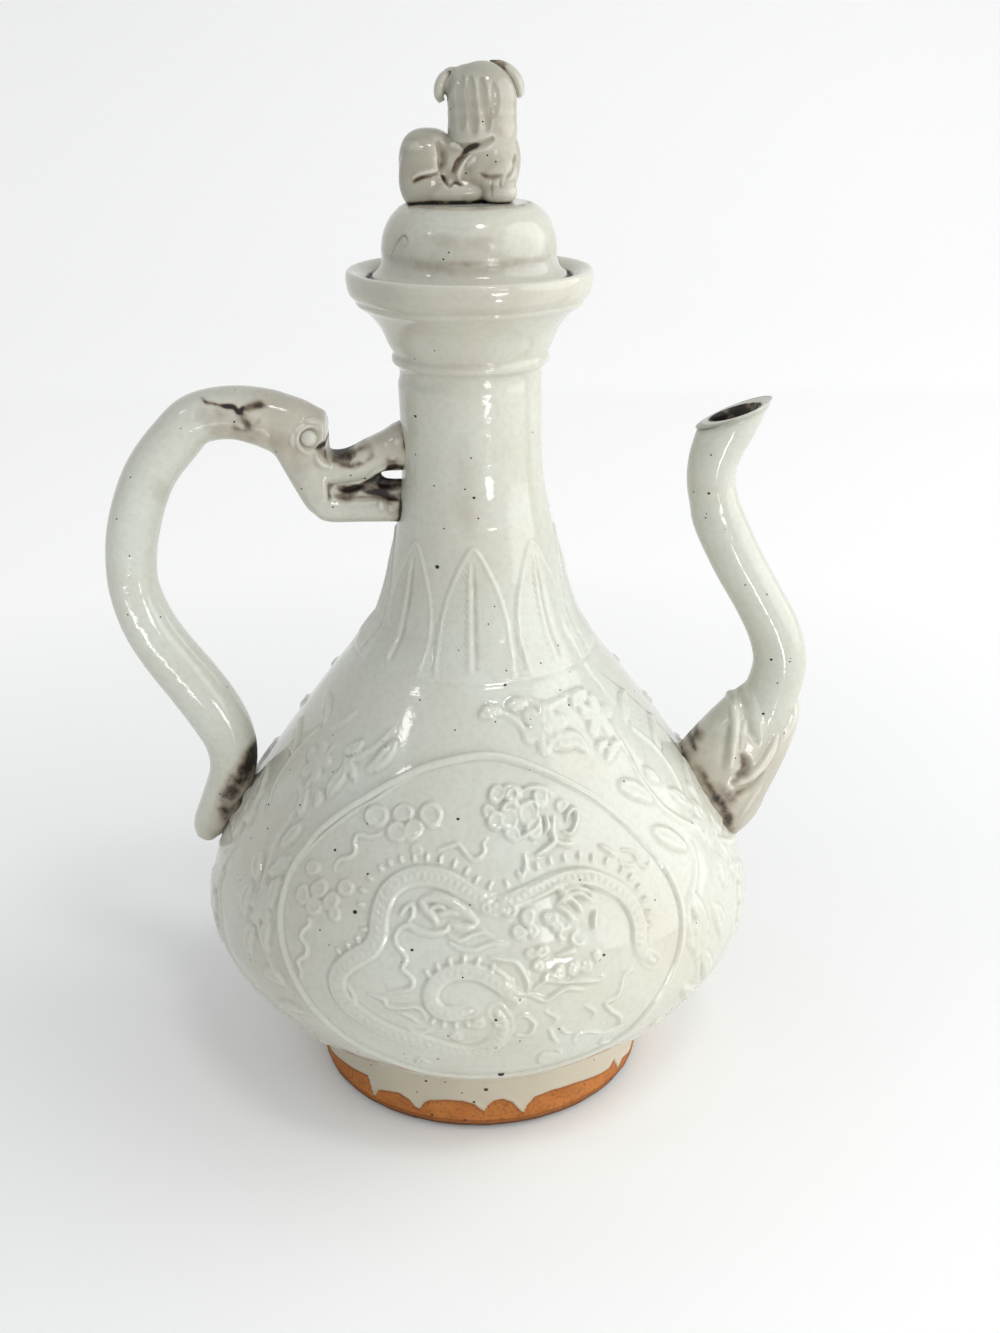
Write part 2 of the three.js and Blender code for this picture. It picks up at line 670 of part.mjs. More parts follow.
function makeLidCover() {
  const flangeTop = seatZ + lidFlangeThickness;
  const rise = lidTopZ - flangeTop;
  const bore = bezelRadius - bezelWall;
  const hollowTop = lidTopZ - lidWall;
  const hollowRadius = lidDomeRadius - lidWall;
  return turned([
    [0, hollowTop],
    ...[...hollowShares].reverse().map(([up, out]) => [
      out * hollowRadius, seatZ + up * (hollowTop - seatZ)]),
    [bore, seatZ],
    [lidFlangeRadius, seatZ],
    [lidFlangeRadius, flangeTop],
    ...domeShares.map(([up, out]) => [out * lidDomeRadius, flangeTop + up * rise]),
    [lidFlatRadius, lidTopZ],
    [0, lidTopZ],
  ], lidSides, false);
}

const bezelChamferShare = 0.25;  // of the bezel's wall

function makeLidBezel() {
  const low = seatZ - bezelDepth;
  const inner = bezelRadius - bezelWall;
  const chamfer = bezelChamferShare * bezelWall;
  return turned([
    [bezelRadius - chamfer, low], [bezelRadius, low + chamfer], [bezelRadius, seatZ],
    [inner, seatZ], [inner, low + chamfer], [inner + chamfer, low]], lidSides);
}

// Lion finial: it sits along X with its chest to the spout and turns its
// head to +Y, so the front view shows its combed mane.

// Places and half sizes are shares of the lion's length, width and height.
const haunchShares = [
  [[-0.35, 0, 0.27], [0.2, 0.43, 0.27], 0],
  [[-0.36, -0.22, 0.22], [0.165, 0.24, 0.25], 8],
  [[-0.36, 0.22, 0.22], [0.165, 0.24, 0.25], 8],
];
const chestShares = [
  [[-0.05, 0, 0.22], [0.36, 0.38, 0.26], 0],
  [[0.2, 0, 0.3], [0.27, 0.44, 0.34], 0],
  [[0.3, -0.24, 0.13], [0.14, 0.2, 0.2], 0],
  [[0.3, 0.24, 0.13], [0.14, 0.2, 0.2], 0],
  [[-0.13, -0.3, 0.08], [0.25, 0.15, 0.1], 0],
  [[-0.13, 0.3, 0.08], [0.25, 0.15, 0.1], 0],
];
const headShares = [
  [[0.175, -0.02, 0.72], [0.29, 0.43, 0.28], 0],
  [[0.175, -0.1, 0.56], [0.295, 0.42, 0.3], 0],
  [[0.17, 0.3, 0.68], [0.19, 0.3, 0.14], 0],
  [[0.18, 0.26, 0.86], [0.22, 0.25, 0.1], 0],
  [[0.17, 0.56, 0.7], [0.06, 0.08, 0.05], 0],
];
const headCutShare = 0.43;
const earShares = [
  [[-0.135, 0.08, 0.81], [0.075, 0.26, 0.13], 25],
  [[0.46, 0.08, 0.84], [0.075, 0.26, 0.14], -20]];

function lionLump([place, half, tilt], grow = 0) {
  const size = [lionLength, lionWidth, lionHeight];
  const centre = place.map((share, axis) => share * size[axis]);
  return lump([centre[0] + lionSide, centre[1], centre[2] + lidTopZ],
    half.map((share, axis) => share * size[axis] + grow), tilt);
}

const lionLumps = (table, grow) => joined(table.map((shares) => lionLump(shares, grow)));

function lionSlab(lowShare, highShare) {
  const reach = lionLength + cutOverrun;
  return block([-reach, -reach, lidTopZ + lowShare * lionHeight],
    [reach, reach, lidTopZ + highShare * lionHeight]);
}

function makeLionBody() {
  return lionLumps(chestShares).intersect(lionSlab(0, headCutShare))
    .add(lionLumps(haunchShares).intersect(lionSlab(0, 1)));
}

function makeLionHead() {
  return lionLumps(headShares).intersect(lionSlab(headCutShare, 2))
    .subtract(lionLumps(haunchShares, jointGap)).subtract(lionLumps(earShares, jointGap));
}

// Assembly

const ewer = new THREE.Group();
// The handle reaches further than the spout, so the axis of the vessel stands
// off the middle of the width.
const vessel = new THREE.Group();
ewer.add(vessel);

function addPiece(name, solid, look) {
  const mesh = new THREE.Mesh(toGeometry(solid), new THREE.MeshStandardMaterial(look));
  mesh.name = name;
  vessel.add(mesh);
  return mesh;
}

const spoutBore = makeSpoutBore();
// Both halves come out of the same mould, so the ornament on the back one is
// that of the front one turned half round.
const plainHalf = makeBodyHalf(spoutBore);
const ornament = castOrnament();
const frontHalf = plainHalf.add(ornament);
const backHalf = plainHalf.mirror([0, 1, 0]).add(ornament.rotate([0, 0, 180]));
const eyes = [-1, 1].map((side) => eyeBall(side, eyeRadius));
const eyeSockets = [-1, 1].map((side) => eyeBall(side, eyeRadius + jointGap));

addPiece('foot_ring', makeFootRing(), bareClay);
addPiece('base_disc', makeBaseDisc(), glaze);
addPiece('body_front', frontHalf, glaze);
addPiece('body_back', backHalf, glaze);
addPiece('neck', makeNeck(), glaze);
addPiece('mouth', makeMouth(), glaze);
addPiece('handle', makeHandle(), glaze);
addPiece('handle_head', makeHandleHead(eyeSockets), stainedGlaze);
addPiece('handle_eye_front', eyes[0], glaze);
addPiece('handle_eye_back', eyes[1], glaze);
addPiece('spout', makeSpout(spoutBore), glaze);
addPiece('spout_sheath', makeSpoutSheath(), stainedGlaze);
addPiece('lid_cover', makeLidCover(), glaze);
addPiece('lid_bezel', makeLidBezel(), glaze);
addPiece('lion_body', makeLionBody(), glaze);
addPiece('lion_head', makeLionHead(), glaze);
addPiece('lion_ear_left', lionLump(earShares[0]), glaze);
addPiece('lion_ear_right', lionLump(earShares[1]), glaze);

const bounds = new THREE.Box3().setFromObject(vessel);
vessel.position.x = -(bounds.min.x + bounds.max.x) / 2;

export default ewer;
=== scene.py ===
"""Lidded ewer: a press-moulded, pale glazed ceramic jug with a dragon panel, a loop handle
that ends in a biting dragon's head, an S-shaped spout in a leaf sheath, and a lion lid.

Metres, +Z up, the handle on -X, the spout on +X and the shown panel on -Y.
"""

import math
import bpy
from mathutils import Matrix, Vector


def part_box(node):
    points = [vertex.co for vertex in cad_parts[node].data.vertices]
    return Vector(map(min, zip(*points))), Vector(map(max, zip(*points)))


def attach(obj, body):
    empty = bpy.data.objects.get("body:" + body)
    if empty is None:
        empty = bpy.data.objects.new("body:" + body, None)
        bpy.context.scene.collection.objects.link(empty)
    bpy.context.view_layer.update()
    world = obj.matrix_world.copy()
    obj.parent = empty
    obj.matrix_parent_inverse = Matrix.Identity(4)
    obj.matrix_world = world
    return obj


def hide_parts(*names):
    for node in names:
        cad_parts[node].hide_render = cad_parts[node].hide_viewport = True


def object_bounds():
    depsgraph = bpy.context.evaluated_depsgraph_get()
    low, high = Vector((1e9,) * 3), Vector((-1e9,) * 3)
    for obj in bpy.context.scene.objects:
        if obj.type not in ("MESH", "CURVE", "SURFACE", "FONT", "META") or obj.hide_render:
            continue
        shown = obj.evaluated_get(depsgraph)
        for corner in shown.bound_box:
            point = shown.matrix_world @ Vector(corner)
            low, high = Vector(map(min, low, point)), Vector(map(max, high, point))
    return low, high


bl_info = {
    "name": "Lidded ewer",
    "version": (1, 0, 0),
    "blender": (4, 5, 0),
    "location": "View3D > Sidebar > Ewer",
    "description": "Models a pale glazed ewer with moulded relief, a dragon handle and a lion lid",
    "category": "Object",
}

from types import SimpleNamespace

import bpy
import numpy as np
from mathutils import Matrix, Vector

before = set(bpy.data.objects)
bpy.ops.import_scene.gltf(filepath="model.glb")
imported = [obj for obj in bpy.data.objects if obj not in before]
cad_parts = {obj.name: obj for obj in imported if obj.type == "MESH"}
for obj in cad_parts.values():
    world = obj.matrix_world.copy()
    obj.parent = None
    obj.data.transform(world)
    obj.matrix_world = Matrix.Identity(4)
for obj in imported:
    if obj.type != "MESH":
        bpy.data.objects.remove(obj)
CAD_BOX = [list(corner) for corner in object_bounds()]

MM = 0.001
EWER = "ewer"
LID = "lid"

# The vessel's axis and its main heights come from the frame.
FOOT_LOW, FOOT_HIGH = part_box("foot_ring")
AXIS = (FOOT_LOW.x + FOOT_HIGH.x) / 2 / MM
FOOT_RADIUS = (FOOT_HIGH.x - FOOT_LOW.x) / 2 / MM
FOOT_TOP = FOOT_HIGH.z / MM
FOOT_WALL = 7.5         # mm
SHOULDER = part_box("neck")[0].z / MM
NECK_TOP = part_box("neck")[1].z / MM
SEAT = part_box("lid_cover")[0].z / MM
LID_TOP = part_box("lid_cover")[1].z / MM


# Sizes and colours

def size(name, about, millimetres):
    """A length that a user may change, written in millimetres and kept in metres."""
    return bpy.props.FloatProperty(name=name, description=about, default=millimetres * MM,
                                   min=0, precision=4, unit="LENGTH")


def power(name, about, watts):
    """The strength of a lamp."""
    return bpy.props.FloatProperty(name=name, description=about, default=watts, unit="POWER")


def in_mm(group):
    """A group's lengths as plain millimetres."""
    return SimpleNamespace(**{key: getattr(group, key) / MM for key in group.__annotations__})


def swatch(name, about, hex_value):
    """A colour written as an sRGB hex value."""
    return bpy.props.FloatVectorProperty(
        name=name, description=about, subtype="COLOR", size=3, min=0, max=1,
        default=linear(hex_value)[:3])


def linear(hex_value):
    """Turns an sRGB hex value into linear RGBA."""
    parts = [((hex_value >> shift) & 255) / 255 for shift in (16, 8, 0)]
    bent = [c / 12.92 if c <= 0.04045 else ((c + 0.055) / 1.055) ** 2.4 for c in parts]
    return (*bent, 1.0)


class VesselSizes(bpy.types.PropertyGroup):
    """Sizes of the turned and moulded forms"""
    bottom_radius: size("Bottom radius", "Radius of the body where it stands on the foot", 53)
    belly_rise: size("Belly rise", "Height of the widest place above the foot joint", 44)
    belly_radius: size("Belly radius", "Radius at the widest place", 83.8)
    shoulder_radius: size("Shoulder radius", "Radius where the neck begins", 36.1)
    neck_radius: size("Neck radius", "Radius of the neck's straight part", 20.2)
    lip_radius: size("Lip radius", "Radius of the mouth's lip", 34.6)
    wall: size("Wall", "Thickness of the moulded wall", 5)
    strap: size("Handle", "Thickness of the handle", 15.8)
    spout_radius: size("Spout radius", "Radius of the spout's tube", 8)
    panel_raise: size("Panel raise", "How far the dragon panel's ground stands proud", 0.6)


class ReliefSizes(bpy.types.PropertyGroup):
    """How far the moulded ornament stands out"""
    ridge: size("Ridge", "Height of the ridge round the panel", 0.95)
    trunk: size("Dragon", "Height of the dragon's trunk", 0.9)
    cloud: size("Cloud", "Height of the cloud scrolls", 1.15)
    line: size("Line", "Height of whiskers, tails and flames", 0.85)
    leaf: size("Leaf", "Height of the leaves on the flanks", 1.25)


class GlazeColours(bpy.types.PropertyGroup):
    """Colours of the glaze, the stain and the bare clay"""
    cool: swatch("Cool glaze", "The glaze over the neck and shoulders", 0xCED1C6)
    warm: swatch("Warm glaze", "The glaze near the lip, the lid and the foot", 0xC6C2B3)
    yellow: swatch("Yellowed glaze", "The glaze of the lid, the lion and the head", 0xA39F90)
    # The thin glaze tint is partly real thin glaze and partly a painted highlight on proud edges.
    thin: swatch("Thin glaze", "Where it runs thin over an edge", 0xE0DFD3)
    # The pooled glaze colour is also painted shade in hollows, and a random mottle.
    pool: swatch("Pooled glaze", "Where it gathers in a hollow", 0x999A8A)
    # The stain and deep stain colours also paint shade: in the gap beside the lid and in the
    # spout's bore.
    stain: swatch("Stain", "Brown kiln and age stain", 0x71522A)
    deep_stain_and_shade: swatch("Deep stain", "Where the stain is thickest", 0x1F1711)
    speck: swatch("Speck", "Iron specks", 0x3A322A)
    clay: swatch("Bare clay", "The unglazed foot", 0xAC6529)
    clay_dark: swatch("Dark clay", "The burnt edge of the foot", 0x5C3720)
    flame: swatch("Flamed clay", "Where the fire licked the foot", 0xBD7738)
    coat: swatch("Glaze on the foot", "Where the glaze has run over the clay", 0xC4BAA5)
    coat_dark: swatch("Thin glaze on the foot", "Where the clay shows through", 0xB3AC9A)


# Courses and outlines

def curve_through(points, step=6, closed=False):
    """A smooth course through given points."""
    points = np.asarray(points, float)
    if closed:
        points = np.vstack([points[-1], points, points[0], points[1]])
    else:
        points = np.vstack([2 * points[0] - points[1], points, 2 * points[-1] - points[-2]])
    shares = np.linspace(0, 1, step, endpoint=False)[:, None]
    course = []
    for a, b, c, d in zip(points[:-3], points[1:-2], points[2:-1], points[3:]):
        course.append(0.5 * (2 * b + (c - a) * shares
                             + (2 * a - 5 * b + 4 * c - d) * shares ** 2
                             + (3 * b - a - 3 * c + d) * shares ** 3))
    course.append(points[-2][None])
    return np.vstack(course)


def even(course, count):
    """The same course with its points at even distances."""
    course = np.asarray(course, float)
    run = np.concatenate([[0], np.cumsum(np.hypot(*np.diff(course[:, :2], axis=0).T))])
    places = np.linspace(0, run[-1], count)
    return np.column_stack([np.interp(places, run, column) for column in course.T])


def heading(course):
    """The direction of a course in its plane, at each of its points."""
    ahead = np.gradient(course[:, :2], axis=0)
    return ahead / np.linalg.norm(ahead, axis=1, keepdims=True)


def square_to(course):
    """The direction square to a course, to its right."""
    ahead = heading(course)
    return np.column_stack([ahead[:, 1], -ahead[:, 0]])


def pushed(course, distance):
    """A (radius, height) course moved square to itself."""
    return course + square_to(course) * distance


SKIN = 0.3              # points this near to an outline, in mm, lie on the outside
# Shares of the height and of the width, from the foot joint up.
LOWER_BODY = [(0, 0), (0.091, 0.162), (0.182, 0.318), (0.273, 0.455), (0.455, 0.682),
              (0.727, 0.932), (1, 1)]
UPPER_BODY = [(0.179, 0.937), (0.359, 0.761), (0.538, 0.564), (0.718, 0.354), (0.872, 0.168),
              (1, 0)]
NECK = [(0, 1), (0.123, 0.655), (0.272, 0.367), (0.444, 0.172), (0.642, 0.022), (0.802, 0),
        (1, 0)]


def body_course(sizes):
    belly = FOOT_TOP + sizes.belly_rise
    lower = [(sizes.bottom_radius + out * (sizes.belly_radius - sizes.bottom_radius),
              FOOT_TOP + up * sizes.belly_rise) for up, out in LOWER_BODY]
    upper = [(sizes.shoulder_radius + out * (sizes.belly_radius - sizes.shoulder_radius),
              belly + up * (SHOULDER - belly)) for up, out in UPPER_BODY]
    return curve_through(lower + upper)


def neck_course(sizes):
    return curve_through([
        (sizes.neck_radius + out * (sizes.shoulder_radius - sizes.neck_radius),
         SHOULDER + up * (NECK_TOP - SHOULDER)) for up, out in NECK])


# The picture's camera, as fitted to the rims of the turned forms

CAMERA_PLACE = (AXIS + 4.17, -447.9, 311.8)
CAMERA_TURN = math.radians(0.428)
CAMERA_PITCH = math.radians(22.0)
CAMERA_ROLL = math.radians(-0.479)
PICTURE_WIDTH, PICTURE_HEIGHT = 1000, 1333
FOCAL_PIXELS = 1585.4
SENSOR_MM = 36.0


def camera_axes():
    """The camera's right, up and forward directions."""
    turn, pitch, roll = CAMERA_TURN, CAMERA_PITCH, CAMERA_ROLL
    ahead = np.array([math.sin(turn) * math.cos(pitch), math.cos(turn) * math.cos(pitch),
                      -math.sin(pitch)])
    level = np.array([math.cos(turn), -math.sin(turn), 0])
    above = np.cross(level, ahead)
    return (level * math.cos(roll) + above * math.sin(roll),
            above * math.cos(roll) - level * math.sin(roll), ahead)


def picture_rays(pixels):
    """The camera's rays through picture pixels."""
    right, above, ahead = camera_axes()
    pixels = np.asarray(pixels, float)
    return (ahead + right * ((pixels[:, :1] - PICTURE_WIDTH / 2) / FOCAL_PIXELS)
            - above * ((pixels[:, 1:] - PICTURE_HEIGHT / 2) / FOCAL_PIXELS))


def on_vessel(pixels, course):
    """Where picture pixels fall on the vessel: turn about the axis and height."""
    rays = picture_rays(pixels)
    start = np.array(CAMERA_PLACE) - (AXIS, 0, 0)
    steps = np.linspace(0.7, 1.4, 1400) * abs(start[1])
    places = start + steps[None, :, None] * rays[:, None, :]
    out = np.hypot(places[..., 0], places[..., 1])
    gap = out - np.interp(places[..., 2], course[:, 1], course[:, 0])
    # A ray that misses the vessel is laid where it passes closest.
    first = np.where((gap < 0).any(1), np.argmax(gap < 0, axis=1), np.argmin(gap, axis=1))
    found = places[np.arange(len(rays)), first]
    return np.column_stack([np.arctan2(found[:, 0], -found[:, 1]), found[:, 2]])


def on_plane(depth):
    """A function that lays picture pixels on the upright plane at y = depth."""
    def locate(pixels):
        rays = picture_rays(pixels)
        hit = np.array(CAMERA_PLACE) + rays * ((depth - CAMERA_PLACE[1]) / rays[:, 1:2])
        return hit[:, ::2]
    return locate


# Relief: heights in millimetres laid along courses on a surface

class Relief:
    """Heights over the points of a surface, each with a place across and a place along.
    across is an angle and reach a radius on a turned form, or a length and 1 on a flat one."""

    def __init__(self, across, along, reach, locate):
        self.across, self.along, self.reach = across, along, reach
        self.locate = locate
        self.rise = np.zeros(len(across))

    def near(self, course, width):
        """For the points near a course: which they are, their distance to it, signed by
        side, their share of the way along it, and its length."""
        slack = width / self.reach.min()
        low, high = course.min(0), course.max(0)
        which = np.flatnonzero(
            (self.across > low[0] - slack) & (self.across < high[0] + slack)
            & (self.along > low[1] - width) & (self.along < high[1] + width))
        reach = self.reach[which]
        x, y = self.across[which] * reach, self.along[which]
        best = np.full(len(which), 1e9)
        side, share = np.zeros(len(which)), np.zeros(len(which))
        scale = float(reach.mean()) if len(which) else 1.0
        runs = np.hypot(np.diff(course[:, 0]) * scale, np.diff(course[:, 1]))
        length = max(runs.sum(), 1e-6)
        done = 0.0
        for (ax, ay), (bx, by), run in zip(course[:-1], course[1:], runs):
            px, py = x - ax * reach, y - ay
            dx, dy = (bx - ax) * reach, by - ay
            along = np.clip((px * dx + py * dy) / np.maximum(dx * dx + dy * dy, 1e-9), 0, 1)
            gap = np.hypot(px - along * dx, py - along * dy)
            closer = gap < best
            best = np.where(closer, gap, best)
            side = np.where(closer, np.sign(px * dy - py * dx), side)
            share = np.where(closer, (done + along * run) / length, share)
            done += run
        return which, best, side, share, length

    def course(self, places):
        return curve_through(self.locate(places))

    def strokes(self, table, rise=1.0, **how):
        """A stroke for each row of a table: course, width and share of the rise."""
        for places, width, share in table:
            self.stroke(places, width, rise * share, **how)

    def stroke(self, places, width, rise, **how):
        self.bead(self.course(places), width, rise, **how)

    def bead(self, course, width, rise, ends=(0.5, 0.5), crown=0.75, cut=False, cap=0.22):
        """A rounded bead, or a groove, along a course. Over its cap's share of the course
        it's drawn out to its ends' shares of the width."""
        which, gap, _, share, _ = self.near(course, width)
        widths = np.interp(share, [0, cap, 1 - cap, 1], [ends[0], 1, 1, ends[1]])
        level = np.clip(1 - (gap / (widths * width / 2)) ** 2, 0, 1) ** crown
        level *= rise * widths ** 0.5
        if cut:
            self.rise[which] -= level
        else:
            self.rise[which] = np.maximum(self.rise[which], level)

    def leaf(self, places, width, rise, veins, full=0.42):
        """A leaf with a sunk midrib and side veins, widest at its full share."""
        which, gap, _, share, _ = self.near(self.course(places), width)
        swell = np.where(share < full, share / full, (1 - share) / (1 - full))
        half = np.maximum(np.sin(np.clip(swell, 0, 1) * math.pi / 2) ** 0.75, 0.03) * width / 2
        pad = np.clip(1 - (gap / half) ** 4, 0, 1) ** 0.6
        rib = np.exp(-(gap / (0.07 * width + 0.15)) ** 2)
        slant = share * veins + gap / width * 1.1
        vein = 0.5 + 0.5 * np.cos(slant * math.tau)
        level = rise * pad * (0.82 + 0.18 * np.clip(gap / half, 0, 1) - 0.34 * rib
                              - 0.14 * vein * (1 - rib))
        self.rise[which] = np.maximum(self.rise[which], level)

    def button(self, place, radius, rise, dimple=0.36):
        """A low round lobe with a raised rim."""
        centre = self.locate([place])[0]
        which, gap, *_ = self.near(np.array([centre, centre + 1e-6]), 2 * radius)
        angle = np.arctan2(self.along[which] - centre[1],
                           (self.across[which] - centre[0]) * self.reach[which])
        uneven = 1 + 0.1 * np.sin(2 * angle + place[0]) + 0.05 * np.sin(3 * angle + place[1])
        part = np.clip(gap / (radius * uneven), 0, 1)
        level = rise * ((1 - dimple) * (1 - part ** 6)
                        + dimple * np.exp(-((part - 0.74) / 0.17) ** 2))
        self.rise[which] = np.maximum(self.rise[which], level)

    def flower(self, place, radius, petals, rise, turn=0.0):
        """A ring of petals round a boss."""
        centre = self.locate([place])[0]
        reach = self.reach[np.argmin(abs(self.along - centre[1]))]
        for i in range(petals):
            angle = turn + math.tau * i / petals
            out = np.array([math.cos(angle) / reach, math.sin(angle)]) * radius
            course = np.linspace(centre + out * 0.15, centre + out, 5)
            which, gap, _, share, _ = self.near(course, radius)
            half = radius * (0.24 + 0.22 * np.sin(np.clip(share, 0, 1) * math.pi * 0.62))
            level = rise * np.clip(1 - (gap / half) ** 4, 0, 1) ** 0.6
            level *= 0.7 + 0.3 * np.clip(gap / half, 0, 1)
            self.rise[which] = np.maximum(self.rise[which], level)
        self.button(place, radius * 0.3, rise * 1.15, dimple=0.2)

    def scales(self, places, width, rise, pitch):
        """Overlapping scales between two raised rims, on top of a bead along a course."""
        which, gap, side, share, length = self.near(self.course(places), width)
        lane = gap * side / pitch
        row = np.round(lane)
        aside = lane - row
        phase = share * length / pitch + 0.5 * (row % 2) - 1.1 * aside ** 2
        part = gap / (width * 0.5)
        keep = np.clip(1 - (part / 0.8) ** 4, 0, 1)
        self.rise[which] += (rise * keep * ((phase % 1.0) - 0.5)
                             + rise * np.exp(-((part - 0.84) / 0.14) ** 2))


def blurred(values, edges, passes):
    """Values evened out along a mesh's edges."""
    a, b = edges.T
    count = np.maximum(np.bincount(a, minlength=len(values))
                       + np.bincount(b, minlength=len(values)), 1)
    for _ in range(passes):
        total = (np.bincount(a, weights=values[b], minlength=len(values))
                 + np.bincount(b, weights=values[a], minlength=len(values)))
        values = (values + total / count) / 2
    return values


# Mesh making

SMOOTH_ANGLE = math.radians(40)


def deselect():
    if bpy.context.object and bpy.context.object.mode != "OBJECT":
        bpy.ops.object.mode_set(mode="OBJECT")
    bpy.ops.object.select_all(action="DESELECT")


def pick(piece):
    """Selects one piece alone and makes it the active one."""
    deselect()
    piece.select_set(True)
    bpy.context.view_layer.objects.active = piece


def joined(parts):
    """Joins pieces into the first of them."""
    deselect()
    for part in parts:
        part.select_set(True)
    bpy.context.view_layer.objects.active = parts[0]
    bpy.ops.object.join()
    return bpy.context.object


def duplicated(piece):
    """A copy with its own mesh."""
    pick(piece)
    bpy.ops.object.duplicate()
    return bpy.context.object


def read(items, field, width, kind=np.float32):
    """One field of each of a mesh's items, as rows of the field's width."""
    flat = np.empty(len(items) * width, kind)
    items.foreach_get(field, flat)
    return flat.reshape(-1, width)


def points_of(piece):
    """A mesh's points, in millimetres."""
    return read(piece.data.vertices, "co", 3).astype(float) / MM


def set_points(piece, points):
    piece.data.vertices.foreach_set("co", (np.asarray(points) * MM).astype(np.float32).ravel())
    piece.data.update()


def normals_of(piece):
    return read(piece.data.vertex_normals, "vector", 3).astype(float)


def edges_of(piece):
    return read(piece.data.edges, "vertices", 2, np.int32)


def mark(piece, name, values):
    """Stores a value at each point, for the materials."""
    layer = piece.data.attributes.new(name, "FLOAT", "POINT")
    layer.data.foreach_set("value", np.full(len(piece.data.vertices), values, np.float32))


def finish_mesh(piece, name, body, material):
    """Shades, names and colours a finished piece and puts it on its body."""
    pick(piece)
    bpy.ops.object.shade_smooth_by_angle(angle=SMOOTH_ANGLE)
    piece.name = piece.data.name = name
    piece.data.materials.clear()
    piece.data.materials.append(material)
    # Smoothing and relief may pass the part's own box by a few hundredths of a millimetre.
    set_points(piece, np.clip(points_of(piece), *(np.array(CAD_BOX) / MM)))
    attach(piece, body)


def closed_up():
    """In edit mode: merges doubles, fills what is open and turns the faces outward."""
    bpy.ops.mesh.select_all(action="SELECT")
    bpy.ops.mesh.remove_doubles(threshold=1e-6)
    bpy.ops.mesh.delete_loose()
    bpy.ops.mesh.select_all(action="DESELECT")
    bpy.ops.mesh.select_non_manifold()
    bpy.ops.mesh.fill_holes(sides=0)
    bpy.ops.mesh.select_all(action="SELECT")
    bpy.ops.mesh.normals_make_consistent(inside=False)
    bpy.ops.object.mode_set(mode="OBJECT")


def turned(outline, steps, sweep=math.tau):
    """Spins a closed (radius, height) outline about the vessel's axis, from -X on."""
    deselect()
    bpy.ops.mesh.primitive_circle_add(vertices=len(outline), radius=1)
    piece = bpy.context.object
    outline = np.asarray(outline, float)
    set_points(piece, np.column_stack(
        [AXIS - outline[:, 0], np.zeros(len(outline)), outline[:, 1]]))
    bpy.ops.object.mode_set(mode="EDIT")
    bpy.ops.mesh.select_all(action="SELECT")
    bpy.ops.mesh.spin(steps=steps, angle=-sweep, center=(AXIS * MM, 0, 0), axis=(0, 0, 1))
    closed_up()
    return piece


def wrapped(around, along, place):
    """Rolls a grid round a form. place turns shares (round, along) into points."""
    deselect()
    bpy.ops.mesh.primitive_grid_add(x_subdivisions=around, y_subdivisions=along, size=1)
    piece = bpy.context.object
    shares = points_of(piece)[:, :2] * MM + 0.5
    set_points(piece, place(shares[:, 0], shares[:, 1]))
    bpy.ops.object.mode_set(mode="EDIT")
    closed_up()
    return piece


def about_axis(points):
    """Each point's turn about the vessel's axis, its distance from it and its height."""
    across, depth, height = (points - (AXIS, 0, 0)).T
    return np.arctan2(across, -depth), np.hypot(across, depth), height


def push_out(points, distances):
    """Moves points away from the vessel's axis, by millimetres."""
    flat = points[:, :2] - (AXIS, 0)
    points[:, :2] += flat / np.hypot(*flat.T)[:, None] * np.asarray(distances)[:, None]


def mark_relief(piece, reach=2.5, joints=()):
    """Marks where a surface stands proud of what is round it, where glaze runs thin and the
    material paints a highlight, and where it lies lower, where glaze pools and the material paints
    shade. reach is the size of the features in mm, and joints are the heights where another piece
    carries on."""
    points = points_of(piece)
    edges = edges_of(piece)
    spacing = np.linalg.norm(points[edges[:, 0]] - points[edges[:, 1]], axis=1).mean()
    passes = int(np.clip((reach / spacing) ** 2, 4, 90))
    smooth = np.column_stack([blurred(points[:, k], edges, passes) for k in range(3)])
    proud = ((points - smooth) * normals_of(piece)).sum(1)
    for level in joints:
        proud *= eased((np.abs(points[:, 2] - level) - 0.5) / 2.5)
    mark(piece, "proud", np.clip(proud, -1, 1))
    return proud


# Materials

def node(tree, kind, links=None, **settings):
    """Adds a node, sets its fields, and fills its inputs with values or with links, to a
    socket or to a node's first output."""
    made = tree.nodes.new(kind)
    for key, value in settings.items():
        setattr(made, key, value)
    for key, value in (links or {}).items():
        socket = made.inputs[key]
        if isinstance(value, bpy.types.Node):
            value = value.outputs[0]
        if isinstance(value, bpy.types.NodeSocket):
            tree.links.new(value, socket)
        elif socket.type == "RGBA":
            socket.default_value = (*value[:3], 1)
        else:
            socket.default_value = value
    return made


def new_material(name):
    """A material with nothing in its node tree."""
    material = bpy.data.materials.new(name)
    material.use_nodes = True
    material.node_tree.nodes.clear()
    return material, material.node_tree


